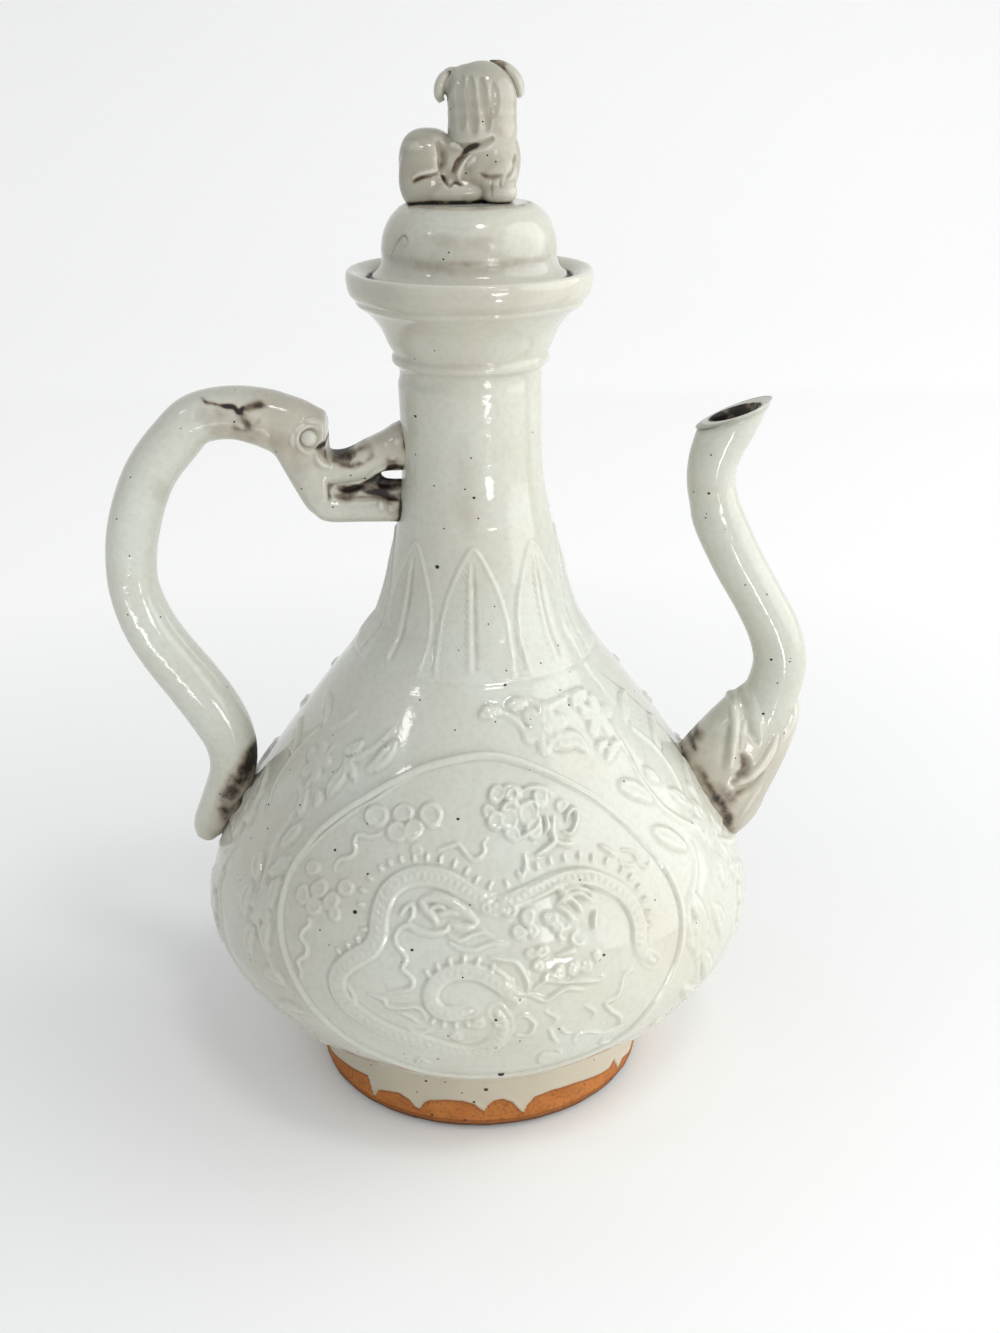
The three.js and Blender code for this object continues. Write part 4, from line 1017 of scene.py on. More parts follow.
def panel_skin(vessel, heights, sizes):
    """The moulded panel as a closed skin: fine cells outside, coarse cells inside."""
    edge = curve_through(vessel.locate(PANEL_EDGE), step=8, closed=True)
    slack = (0.06, 3.5)     # radians round the vessel and mm along it
    low, high = edge.min(0) - slack, edge.max(0) + slack
    columns, rows = COARSE_CELLS
    fine = FINE_PER_COARSE

    def grid(nx, ny):
        turn, run = np.meshgrid(np.linspace(low[0], high[0], nx + 1),
                                np.linspace(low[1], high[1], ny + 1), indexing="ij")
        return turn.ravel(), run.ravel()

    turn, run = grid(columns, rows)
    centre = vessel.relief(turn, run)
    distance = edge_distance(centre, edge).reshape(columns + 1, rows + 1)
    kept = (np.minimum.reduce([distance[:-1, :-1], distance[1:, :-1], distance[:-1, 1:],
                               distance[1:, 1:]]) < PANEL_MARGIN)
    back = vessel.surface(turn, run, PANEL_BACK)
    turn, run = grid(columns * fine, rows * fine)
    relief = vessel.relief(turn, run)
    panel_relief(vessel, relief, heights)
    distance = edge_distance(relief, edge)
    # Outside its edge the ground dives 0.8 mm under the body's own surface.
    fall = sizes.panel_raise + 0.8
    ground = sizes.panel_raise - fall * eased(distance / 2.2)
    ridge = heights.ridge * np.clip(1 - (distance / 1.5) ** 2, 0, 1) ** 0.8
    # The glaze fills the sharpest hollows and rounds every edge.
    soft = relief.rise.reshape(columns * fine + 1, rows * fine + 1)
    for axis in (0, 1):
        soft = (np.roll(soft, 1, axis) + 2 * soft + np.roll(soft, -1, axis)) / 4
    moulded = soft.ravel() * (distance < -1.2)
    front = vessel.surface(turn, run, ground + np.maximum(ridge, moulded))
    stride = rows * fine + 1
    back_start = len(front)
    faces = []
    for i in range(columns):
        for j in range(rows):
            if not kept[i, j]:
                continue
            for a in range(i * fine, (i + 1) * fine):
                for b in range(j * fine, (j + 1) * fine):
                    corner = a * stride + b
                    faces.append((corner, corner + stride, corner + stride + 1, corner + 1))
            corner = back_start + i * (rows + 1) + j
            faces.append((corner, corner + 1, corner + rows + 2, corner + rows + 1))
            for di, dj in ((-1, 0), (1, 0), (0, -1), (0, 1)):
                ni, nj = i + di, j + dj
                if 0 <= ni < columns and 0 <= nj < rows and kept[ni, nj]:
                    continue
                ci, cj = (i + (di > 0), j) if di else (i, j + (dj > 0))
                step = (0, 1) if di else (1, 0)
                outer = [(ci * fine + step[0] * k) * stride + cj * fine + step[1] * k
                         for k in range(fine + 1)]
                inner = [back_start + (ci + step[0] * k) * (rows + 1) + cj + step[1] * k
                         for k in (1, 0)]
                faces.append(tuple(outer + inner))
    points = np.vstack([front, back])
    used = np.unique(np.concatenate([np.array(face) for face in faces]))
    renumber = np.full(len(points), -1)
    renumber[used] = np.arange(len(used))
    mesh = bpy.data.meshes.new("panel")
    mesh.from_pydata((points[used] * MM).tolist(), [],
                     [tuple(int(renumber[k]) for k in face) for face in faces])
    piece = bpy.data.objects.new("panel", mesh)
    bpy.context.scene.collection.objects.link(piece)
    pick(piece)
    bpy.ops.object.mode_set(mode="EDIT")
    bpy.ops.mesh.select_all(action="SELECT")
    bpy.ops.mesh.normals_make_consistent(inside=False)
    bpy.ops.object.mode_set(mode="OBJECT")
    return piece


# Brown stain on the body: along the seams of its halves and round the joints of handle and
# spout. Courses in picture pixels, widths in mm and depths of colour.
BODY_STAINS = [
    ([(360, 633), (330, 668), (300, 705), (262, 757)], 1.5, 0.4),
    ([(598, 670), (640, 705), (680, 747)], 1.4, 0.4),
    ([(268, 746), (259, 760), (250, 775), (243, 790)], 4.5, 0.75),
    ([(238, 785), (231, 798), (227, 812)], 3.2, 0.7),
    ([(666, 733), (678, 748), (690, 766)], 2.6, 0.8),
    ([(694, 773), (709, 790), (720, 809), (729, 834)], 3.6, 0.85),
]


def warmth(points):
    """Share of the warm tint, and past 1 of the yellowed one: it rises up the neck to the
    lip and the lid, and again towards the foot."""
    return np.interp(points[:, 2], [0, 25, 60, 95, 125, 145, 170, 205, 228, 241, 247, 252, 262],
                     [0.8, 0.55, 0.5, 0.5, 0.2, 0.25, 0.4, 0.4, 0.7, 0.85, 1.15, 0.7, 0.75])


def turned_copy(piece, name):
    """A copy of a half, turned half way round the vessel's axis."""
    copy = duplicated(piece)
    copy.name = copy.data.name = name
    points = points_of(copy)
    points[:, 0] = 2 * AXIS - points[:, 0]
    points[:, 1] = -points[:, 1]
    set_points(copy, points)
    return copy


class EWER_OT_body(bpy.types.Operator):
    """Make the two press-moulded halves of the body and their dragon panels"""
    bl_idname = "ewer.body"
    bl_label = "Body halves"

    def execute(self, context):
        sizes, heights, vessel = measures(context)
        glaze_look = glaze_material(context)
        half = turned(half_outline(sizes, rows=190), steps=320, sweep=math.pi)
        points = points_of(half)
        turn, _, height = about_axis(points)
        run = vessel.run_at(height)
        outer = np.abs(vessel.beyond(points)) < SKIN
        relief = vessel.relief(turn, run)
        flank_relief(vessel, relief, heights)
        edge = curve_through(vessel.locate(PANEL_EDGE), step=8, closed=True)
        distance = edge_distance(relief, edge)
        # A low swell beside the panel, and a bed for it that is 1.9 mm deep.
        beside = 0.25 * np.clip(1 - distance / 2.5, 0, 1) ** 2 * (distance > 0)
        rise = relief.rise * eased((distance - 1.6) / 1.2) + beside
        rise -= 1.9 * eased(-(distance + 0.6) / 1.0)
        # The halves meet without a step.
        rise *= eased((math.pi / 2 - np.abs(turn)) / math.radians(5))
        rise = blurred(rise, edges_of(half), 1)
        set_points(half, np.where(outer[:, None], vessel.surface(turn, run, rise), points))
        mark_relief(half, reach=3.0, joints=(FOOT_TOP, SHOULDER))
        panel = panel_skin(vessel, heights, sizes)
        mark_relief(panel, reach=1.6)
        for name, base, skin in (("front", half, panel),
                                 ("back", turned_copy(half, "body_back"),
                                  turned_copy(panel, "panel_back"))):
            stain = vessel.relief(turn, run)
            stain.strokes(BODY_STAINS, ends=(0.4, 0.4), crown=1.4)
            mark(base, "stain", stain.rise * outer * (name == "front"))
            for piece in (base, skin):
                mark(piece, "warm", warmth(points_of(piece)))
            finish_mesh(base, "body_skin_" + name, EWER, glaze_look)
            finish_mesh(skin, "dragon_panel_" + name, EWER, glaze_look)
            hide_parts("body_" + name)
        return {"FINISHED"}


# The neck

STIFF_LEAVES = 8
# Half of one leaf's edge: turn in degrees from its middle, and height.
LEAF_EDGE = [(-18.2, 141.2), (-19, 146), (-19.4, 151), (-18.4, 157), (-15, 163.5), (-9.5, 169.5),
             (-4.5, 173.6), (0, 175.6)]
LEAF_RIB = [(0.4, 143.5), (0.2, 155), (0, 172)]


def stiff_leaf(relief, vessel, rise):
    """One upright leaf: a raised edge, a rib beside a groove, and veins like a feather's."""
    edge = LEAF_EDGE + [(-turn, height) for turn, height in LEAF_EDGE[-2::-1]]
    base = vessel.locate_turned(LEAF_EDGE)
    half = np.interp(relief.along, base[:, 1], -base[:, 0]) * relief.reach + 0.3
    aside = np.abs(relief.across) * relief.reach
    within = eased((half - aside) / 1.2) * (relief.along > base[0, 1]) * (
        relief.along < base[-1, 1])
    veins = np.cos((relief.along - 1.9 * aside) / 2.3 * math.tau)
    relief.rise += within * rise * (0.3 + 0.17 * veins * eased(aside / 2.5))
    ridge = Relief(relief.across, relief.along, relief.reach, vessel.locate_turned)
    ridge.stroke(edge, 1.5, rise * 0.6, ends=(1, 1))
    ridge.stroke([(turn - 2.4, height) for turn, height in LEAF_RIB], 2.0, rise * 0.85,
                 ends=(1, 0.3))
    relief.rise = np.maximum(relief.rise, ridge.rise)
    relief.stroke([(turn + 1.0, height) for turn, height in LEAF_RIB], 2.4, rise * 1.3,
                  ends=(0.8, 0.2), cut=True)


class EWER_OT_neck(bpy.types.Operator):
    """Turn the neck and mould the ring of stiff leaves round its foot"""
    bl_idname = "ewer.neck"
    bl_label = "Neck"

    def execute(self, context):
        sizes, heights, vessel = measures(context)
        outside = even(neck_course(sizes), 170)
        wall = sizes.wall * 0.9
        bore = pushed(even(outside, 14), -wall)[1:-1]
        outline = np.vstack([outside, [(sizes.neck_radius - wall, NECK_TOP)],
                             bore[::-1], [(sizes.shoulder_radius - sizes.wall, SHOULDER)]])
        neck = turned(outline, 320)
        points = points_of(neck)
        turn, _, height = about_axis(points)
        run = vessel.run_at(height)
        outer = vessel.beyond(points) > -SKIN
        sector = math.tau / STIFF_LEAVES
        relief = vessel.relief((turn + sector / 2) % sector - sector / 2, run)
        stiff_leaf(relief, vessel, heights.leaf * 0.62)
        relief.locate = vessel.locate_turned
        for level, rise in NECK_RINGS:
            relief.stroke([(side, level) for side in (-30, -10, 10, 30)], 1.0, rise, ends=(1, 1))
        # The hand of the potter: the neck isn't quite round, and it leans a little.
        wave = 0.14 * np.sin(2 * turn + 0.8) + 0.1 * np.sin(3 * turn + height * 0.05)
        marks = [SHOULDER, 150, 165, 190, NECK_TOP]
        wave += np.interp(height, marks, [0, -0.7, 0.35, 0.1, 0.3]) + np.sin(
            turn) * np.interp(height, marks, [0, 0.7, 0.7, 0, -0.45])
        rise = relief.rise + wave * eased((height - SHOULDER) / 10) * eased(
            (NECK_TOP - height) / 3)
        set_points(neck, np.where(outer[:, None], vessel.surface(turn, run, rise), points))
        mark_relief(neck, reach=2.6, joints=(SHOULDER, NECK_TOP))
        # The groove beside each leaf's rib is painted darker, as painted shade.
        painted_groove_shade = Relief(relief.across, relief.along, relief.reach, vessel.locate_turned)
        painted_groove_shade.stroke([(turn + 1.0, level) for turn, level in LEAF_RIB], 1.5, 0.3,
                      ends=(0.8, 0.2))
        tint = vessel.relief(turn, run)
        tint.stroke([(462, 440), (466, 480), (468, 530)], 12, 0.13, crown=1.5)
        mark(neck, "stain", np.maximum(painted_groove_shade.rise, tint.rise) * outer)
        mark(neck, "warm", warmth(points))
        finish_mesh(neck, "neck_with_leaves", EWER, glaze_material(context))
        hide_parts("neck")
        return {"FINISHED"}


# The mouth: its bottom ring, the flare, the wavy groove under the lip, the lip and the seat

MOUTH_OUTSIDE = [
    (20.2, 221), (20.25, 222.4), (20.7, 223.4), (21.6, 224.1), (22.3, 225), (22.4, 226),
    (22.1, 226.9), (22.15, 227.6), (22.7, 228.6), (23.5, 230.2), (24.3, 232.2), (25.4, 234.4),
    (27, 236.6), (28.9, 238.6), (30.5, 239.9), (31.5, 240.6), (31.95, 241.2), (32, 241.7),
    (32.2, 242.2), (33, 242.9), (33.8, 243.9), (34.3, 245.4), (34.55, 247), (34.6, 248.4),
    (34.3, 249.5), (33.7, 250)]
MOUTH_INSIDE = [(33.0, 249.95), (31.0, 249.2), (29.2, 248.2), (28.5, 247.6), (28.3, 247.3),
                (20.6, 247.3), (20.4, 246.8), (20.2, 240), (18.5, 232), (15.9, 221)]


class EWER_OT_mouth(bpy.types.Operator):
    """Turn the cup-shaped mouth with its lip and the ledge that carries the lid"""
    bl_idname = "ewer.mouth"
    bl_label = "Mouth"

    def execute(self, context):
        outside = even(curve_through(MOUTH_OUTSIDE, step=8), 120)
        mouth = turned(np.vstack([outside, MOUTH_INSIDE]), 300)
        points = points_of(mouth)
        turn, radius, height = about_axis(points)
        outer = radius > 20.9       # past the bore and the foot of the flare
        # The groove under the lip wavers, and so do the ring and the lip itself.
        sway = 0.22 * np.sin(3 * turn + 0.6) + 0.16 * np.sin(7 * turn + 2.0)
        swayed = sway * np.exp(-((height - 242) / 3.0) ** 2)
        lip = 0.12 * np.sin(2 * turn + 1.2) * eased((height - 243) / 4)
        points[:, 2] += np.where(outer & (height < 249.9), swayed, 0)
        push_out(points, np.where(outer & (height > 225), lip - 0.12, 0))
        set_points(mouth, points)
        proud = mark_relief(mouth, reach=2.2, joints=(NECK_TOP,))
        hollow = np.clip(-proud / 0.3, 0, 1)
        stain = hollow * (0.14 + 0.14 * np.sin(5 * turn + 1)) * outer
        # Painted shadow in the gap beside the lid, darkest at its two sides.
        stain += (np.abs(radius - 28.2) < 0.8) * (height > 247) * (
            0.35 + 0.65 * np.abs(np.sin(turn)) ** 6)
        mark(mouth, "stain", np.clip(stain, 0, 1))
        mark(mouth, "warm", warmth(points))
        finish_mesh(mouth, "mouth_turned", EWER, glaze_material(context))
        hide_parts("mouth")
        return {"FINISHED"}


# The foot

# Where the glaze stops on the foot, drips and all.
FOOT_GLAZE_EDGE = [
    (330, 1046), (342, 1059), (357, 1069), (369, 1075), (372, 1086), (375, 1096), (379, 1089),
    (388, 1090), (399, 1092), (410, 1099), (416, 1106), (420, 1108), (424, 1102), (430, 1099),
    (447, 1099), (463, 1100), (474, 1103), (480, 1108), (484, 1110), (488, 1104), (493, 1100),
    (502, 1098), (512, 1101), (518, 1108), (523, 1112), (527, 1104), (534, 1096), (552, 1089),
    (575, 1082), (598, 1074), (608, 1068), (613, 1059), (617, 1067), (621, 1058), (635, 1046)]


def glaze_stops(vessel, turn):
    """The height where the glaze stops on the foot, for turns about the axis."""
    seen = vessel.locate(FOOT_GLAZE_EDGE)
    height = np.interp(seen[:, 1], vessel.runs, vessel.course[:, 1])
    unseen = 9 + 2.2 * np.sin(5 * turn + 1) + 1.4 * np.sin(11 * turn) - 3.4 * np.maximum(
        0, np.sin(9 * turn + 0.7)) ** 6
    share = eased((np.abs(turn) - 1.15) / 0.25)
    return np.interp(turn, seen[:, 0], height) * (1 - share) + unseen * share


class EWER_OT_foot(bpy.types.Operator):
    """Turn the ring foot, bare below its glaze, and the disc that closes the body"""
    bl_idname = "ewer.foot"
    bl_label = "Foot and base"

    def execute(self, context):
        vessel = measures(context)[-1]
        inner = FOOT_RADIUS - FOOT_WALL
        # The worn foot rim, then the straight wall in even steps.
        outside = [(FOOT_RADIUS - back, z) for back, z in (
            (1.2, 0), (0.5, 0.25), (0.1, 0.9), (0, 1.5), (0, 2.0), (0.35, 2.25), (0, 2.5))]
        outside += [(FOOT_RADIUS, z) for z in np.linspace(2.8, FOOT_TOP, 52)]
        outline = outside + [(inner, FOOT_TOP), (inner, 1.0), (inner + 1.0, 0)]
        foot = turned(outline, 560)
        points = points_of(foot)
        turn, radius, height = about_axis(points)
        outer = radius > FOOT_RADIUS - 2.5
        above = height - glaze_stops(vessel, turn)
        glazed = eased(above / 0.5 + 0.5) * outer
        lap = np.exp(-((above - 0.9) / 0.8) ** 2) * outer
        uneven = 0.12 * np.sin(23 * turn + height) + 0.1 * np.sin(41 * turn)
        push_out(points, 0.28 * glazed + 0.22 * lap + uneven * outer * (1 - glazed) * 0.5)
        set_points(foot, points)
        mark(foot, "glazed", glazed)
        burnt = np.clip(1.5 - height / 1.7, 0, 1) + 0.45 * np.exp(-((above + 0.5) / 0.5) ** 2)
        mark(foot, "burnt", np.clip(burnt, 0, 1))
        finish_mesh(foot, "foot_turned", EWER, bare_clay(context.scene.ewer_colours))
        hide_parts("foot_ring")
        low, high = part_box("base_disc")
        reach = (high.x - low.x) / 2 / MM
        disc = turned([(0, low.z / MM), (reach - 0.6, low.z / MM), (reach, low.z / MM + 0.6),
                       (reach, high.z / MM), (0, high.z / MM)], 120)
        mark(disc, "warm", 0.8)
        finish_mesh(disc, "base_turned", EWER, glaze_material(context))
        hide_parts("base_disc")
        return {"FINISHED"}


# The lid

LID_OUTSIDE = [
    (27.05, 247.55), (27.1, 248.1), (26.8, 248.8), (26.0, 249.4), (25.3, 250.1), (24.9, 250.7),
    (24.5, 251.6), (24.2, 252.6), (24.15, 253.6), (24.25, 254.8), (24.25, 256), (24.0, 258),
    (23.5, 260), (22.7, 262), (21.5, 264), (20.0, 265.6), (18.4, 266.7), (16.5, 267.3),
    (13.5, 267.5), (0, 267.5)]
LID_INSIDE = [(0, 263.4), (13, 263.2), (17, 261.5), (19.2, 258.5), (19.8, 255), (19.4, 252),
              (17.6, 249.8), (17.3, 247.5)]
# Stain on the lid, in picture pixels: course, width in mm and depth.
LID_STAINS = [
    ([(440, 262), (455, 264), (473, 265), (492, 262)], 3.4, 0.42),
    ([(391, 262), (394, 250), (399, 241), (405, 236), (408, 243), (403, 250)], 1.1, 0.55),
    ([(437, 226), (455, 229), (472, 228), (488, 224)], 1.6, 0.12),
    ([(385, 255), (420, 264), (460, 268), (510, 265), (550, 255)], 6, 0.32),
    ([(425, 236), (450, 243), (480, 246), (505, 242)], 7, 0.28),
]


class EWER_OT_lid(bpy.types.Operator):
    """Turn the domed cover with its flared flange, and the bezel under it"""
    bl_idname = "ewer.lid"
    bl_label = "Lid"

    def execute(self, context):
        outside = even(curve_through(LID_OUTSIDE, step=8), 100)
        cover = turned(np.vstack([outside, LID_INSIDE]), 240)
        points = points_of(cover)
        turn, radius, height = about_axis(points)
        outer = (height > 247.6) & (radius > np.interp(height, [247, 262, 267.4], [18, 21, 0]))
        waver = 0.12 * np.sin(2 * turn + 2.4) + 0.1 * np.sin(5 * turn)
        points[:, 2] += np.where(outer & (height < 266), waver, 0)
        set_points(cover, points)
        proud = mark_relief(cover, reach=2.2)
        lid = Turning(np.array(LID_OUTSIDE[:-1]))
        stain = Relief(turn, lid.run_at(height), lid.radius_at(height), lid.locate)
        stain.strokes(LID_STAINS, crown=1.6)
        # Dirt round the lion's base, and a darker band round the dome.
        seam = np.exp(-((radius - 16.6) / 1.1) ** 2) * (height > 264)
        hollow = np.clip(-proud / 0.3, 0, 1) * 0.12 + 0.15 * np.exp(-((height - 257) / 5) ** 2)
        mark(cover, "stain", np.clip(np.maximum.reduce(
            [stain.rise, 0.45 * seam, hollow]) * outer, 0, 1))
        mark(cover, "warm", warmth(points))
        finish_mesh(cover, "lid_cover_turned", LID, glaze_material(context))
        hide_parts("lid_cover")
        low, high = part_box("lid_bezel")
        reach = (high.x - low.x) / 2 / MM
        bottom = low.z / MM
        bezel = turned([(reach - 0.9, bottom), (reach - 0.2, bottom + 0.3), (reach, bottom + 1),
                        (reach, SEAT), (reach - 4, SEAT), (reach - 4, bottom + 0.8),
                        (reach - 3.2, bottom)], 160)
        mark(bezel, "warm", 1)
        finish_mesh(bezel, "lid_bezel_turned", LID, glaze_material(context))
        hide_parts("lid_bezel")
        return {"FINISHED"}


# Bars and lumps, for the pieces that were modelled by hand

def stations_of(vessel, table, reach, low, high, side):
    """Stations in the plane of handle and spout: x, height, then the table's own shares."""
    rows = []
    for out, up, *shares in table:
        height = low + up * (high - low)
        surface = vessel.radius_at(height)
        rows.append((AXIS + side * (surface + out * (reach - surface)), height, *shares))
    return np.array(rows)


def bar(stations, around, along, square=2.0, upright=False):
    """A closed bar through stations of x, height, half thickness and half width. It's
    squarer with a higher power, and an upright one has its sections upright."""
    course = even(curve_through(stations, step=12), along + 1)
    ahead = heading(course)
    if upright:
        ahead = np.column_stack([np.ones(len(course)), np.zeros(len(course))])
    rows, places = np.column_stack([course, ahead]), np.linspace(0, 1, along + 1)

    def place(around_share, along_share):
        x, z, thick, wide, dx, dz = (np.interp(along_share, places, row) for row in rows.T)
        across, level = np.cos(around_share * math.tau), np.sin(around_share * math.tau)
        reach = (abs(across) ** square + abs(level) ** square) ** (-1 / square)
        return np.column_stack([x - dz * thick * across * reach, wide * level * reach,
                                z + dx * thick * across * reach])
    return wrapped(around, along, place)


def lump(centre, half, tilt=0, square=2.0):
    """An egg-shaped lump of clay, squarer with a higher power, tilted about Y."""
    deselect()
    bpy.ops.mesh.primitive_uv_sphere_add(segments=32, ring_count=20, radius=1)
    piece = bpy.context.object
    points = points_of(piece) * MM
    points /= (np.abs(points) ** square).sum(1)[:, None] ** (1 / square)
    points *= half
    c, s = math.cos(math.radians(tilt)), math.sin(math.radians(tilt))
    x, y, z = points.T
    set_points(piece, np.column_stack([x * c + z * s, y, z * c - x * s]) + centre)
    return piece


def kneaded(parts, grain, passes):
    """Joins lumps and bars into one skin, with cells of a grain in mm, and smooths it as
    wet fingers would."""
    piece = joined(parts)
    skin = piece.modifiers.new("Skin", "REMESH")
    skin.mode, skin.voxel_size = "VOXEL", grain * MM
    bpy.ops.object.modifier_apply(modifier="Skin")
    smooth = piece.modifiers.new("Smooth", "SMOOTH")
    smooth.factor, smooth.iterations = 0.5, passes
    bpy.ops.object.modifier_apply(modifier="Smooth")
    return piece


def parted(piece, place, direction):
    """Cuts a piece in two at a plane, given in mm, and closes both: the first is the one
    behind the plane."""
    other = duplicated(piece)
    for half, keep_behind in ((piece, True), (other, False)):
        pick(half)
        bpy.ops.object.mode_set(mode="EDIT")
        bpy.ops.mesh.select_all(action="SELECT")
        bpy.ops.mesh.bisect(plane_co=Vector(place) * MM, plane_no=direction, use_fill=True,
                            clear_outer=keep_behind, clear_inner=not keep_behind)
        bpy.ops.mesh.select_all(action="SELECT")
        bpy.ops.mesh.remove_doubles(threshold=0.12 * MM)
        bpy.ops.object.mode_set(mode="OBJECT")
    return piece, other


def kept_out(points, vessel, depth):
    """Points that sink into the vessel's wall are brought back to a depth below it."""
    _, radius, height = about_axis(points)
    least = vessel.radius_at(height) - depth
    grow = np.maximum(least / np.maximum(radius, 1e-6), 1)[:, None]
    moved = points.copy()
    moved[:, :2] = (points[:, :2] - (AXIS, 0)) * grow + (AXIS, 0)
    return moved


def side_relief(points, depth):
    """Relief as seen from the side, the same on both faces of a piece."""
    return Relief(points[:, 0], points[:, 2], np.ones(len(points)), on_plane(depth))


def pressed(piece, relief, passes=1):
    """Raises a piece's two sides by a relief, less and less as they turn away."""
    normals = normals_of(piece)
    facing = eased((np.abs(normals[:, 1]) - 0.15) / 0.45)
    rise = blurred(relief.rise * facing, edges_of(piece), passes)
    set_points(piece, points_of(piece) + normals * rise[:, None])


def recesses(proud):
    """Stain that has settled in a modelled piece's hollows."""
    return 0.55 * np.clip((-proud - 0.04) / 0.4, 0, 1)


def stained(piece, depth, stains, ground):
    """Marks brown stain over a ground: courses in picture pixels, widths in mm and depths
    of colour."""
    relief = side_relief(points_of(piece), depth)
    for course, width, share in stains:
        relief.stroke(course, width * 1.2, share, ends=(0.55, 0.55), crown=1.0)
    total = np.maximum(relief.rise, ground)
    mark(piece, "stain", np.clip(blurred(total, edges_of(piece), 2), 0, 1))


# The handle and the dragon's head

# Shares: way out from the vessel's surface, height, thickness and width.
HANDLE = [
    (0.454, 0.988, 1.05, 1.06), (0.59, 1.005, 0.96, 1.02), (0.723, 0.991, 0.93, 1),
    (0.809, 0.941, 0.96, 1), (0.879, 0.889, 0.96, 1), (0.928, 0.835, 0.96, 1),
    (0.971, 0.76, 0.97, 1), (0.996, 0.688, 0.95, 1), (1, 0.603, 0.93, 1),
    (0.958, 0.519, 0.98, 1.02), (0.874, 0.444, 1.02, 1.04), (0.733, 0.367, 1.06, 1.06),
    (0.5625, 0.29, 1.06, 1.08), (0.39, 0.216, 0.98, 1.1), (0.259, 0.139, 0.9, 1.1),
    (0.215, 0.062, 0.84, 1.02), (0.235, -0.01, 0.66, 0.76), (0.25, -0.045, 0.36, 0.45)]
# The strap's ends above the shoulder's joint, and how far it stands out past the belly.
STRAP_TOP, STRAP_LOW, STRAP_REACH = 69.4, -60, 17.5
# The head: its length, height and width, and its middle below the strap's inner face.
HEAD_LENGTH, HEAD_HEIGHT, HEAD_WIDTH, HEAD_DROP = 37, 31, 19, 18
# Shares of the head: way along, height above its middle, half height and half width.
SKULL = [(-0.12, 0.3, 0.26, 0.42), (0, 0.25, 0.28, 0.44), (0.06, 0.185, 0.335, 0.45),
         (0.135, 0.085, 0.415, 0.46), (0.25, -0.065, 0.515, 0.46), (0.35, -0.135, 0.52, 0.43),
         (0.415, -0.17, 0.515, 0.4)]
UPPER_JAW = [(0.3, -0.16, 0.18, 0.4), (0.46, -0.175, 0.15, 0.39), (0.57, -0.16, 0.155, 0.38),
             (0.7, -0.106, 0.18, 0.38), (0.84, -0.03, 0.185, 0.36), (0.97, 0.02, 0.225, 0.4),
             (1.2, 0.05, 0.235, 0.42)]
LOWER_JAW = [(0.22, -0.33, 0.12, 0.36), (0.32, -0.475, 0.165, 0.4), (0.42, -0.545, 0.142, 0.4),
             (0.57, -0.56, 0.132, 0.37), (0.73, -0.565, 0.126, 0.36), (0.95, -0.56, 0.132, 0.37),
             (1.2, -0.56, 0.132, 0.38)]
TONGUE = [(0.32, -0.38, 0.12, 0.24), (0.57, -0.37, 0.12, 0.24), (0.73, -0.34, 0.15, 0.22),
          (0.81, -0.34, 0.14, 0.2), (0.865, -0.4, 0.11, 0.18), (1.2, -0.4, 0.11, 0.18)]

# Ridges on the head in picture pixels: course, width in mm and height in mm.
HEAD_RIDGES = [
    ([(316.5, 429.7), (310.4, 427.6), (303, 430.6), (298.4, 436.5), (298, 443), (301.5, 449.5),
      (307, 453)], 1.5, 0.7),
    ([(292.6, 434.5), (291.7, 440.3), (293.2, 446)], 1.6, 0.6),
    ([(295.3, 430.7), (299.6, 426.9), (303.9, 425.2)], 1.5, 0.5),
    ([(305.3, 421.7), (314, 422.6), (321.1, 427.9), (325, 436)], 2.0, 0.5),
    ([(315.8, 455.1), (319, 461.5), (323.5, 465.7), (328.8, 467.6)], 1.7, 0.9),
    ([(332.9, 489.6), (330.4, 494.9), (331.9, 500.4), (336.2, 502.5)], 1.5, 0.6),
    ([(352, 487.5), (361.3, 485.3), (369.9, 479.8), (377.1, 473.8), (385.7, 469)], 1.6, 0.6),
    ([(340, 503), (351.3, 504.3), (365.1, 504.4), (375, 503.6)], 1.8, 0.4),
    ([(380, 504), (382, 511)], 2.2, 0.9), ([(390, 507), (391, 513)], 1.8, 0.7),
    ([(390, 456.5), (393, 461)], 2.0, 0.6), ([(396, 440), (397, 444)], 1.8, 0.5),
    ([(384, 444), (386, 446)], 1.8, 0.4),
]
HEAD_CUTS = [
    ([(316.8, 447.8), (322.6, 444.6), (329.5, 441.2)], 1.3, 0.8),
    ([(338.1, 492), (347, 492.9), (354, 491.5), (360, 489.8)], 2.4, 1.6),
    ([(331, 455), (341, 457.5), (351, 456)], 4.4, 1.1),
    ([(361, 491), (373, 488), (385, 485), (400, 484)], 4.6, 1.6),
]
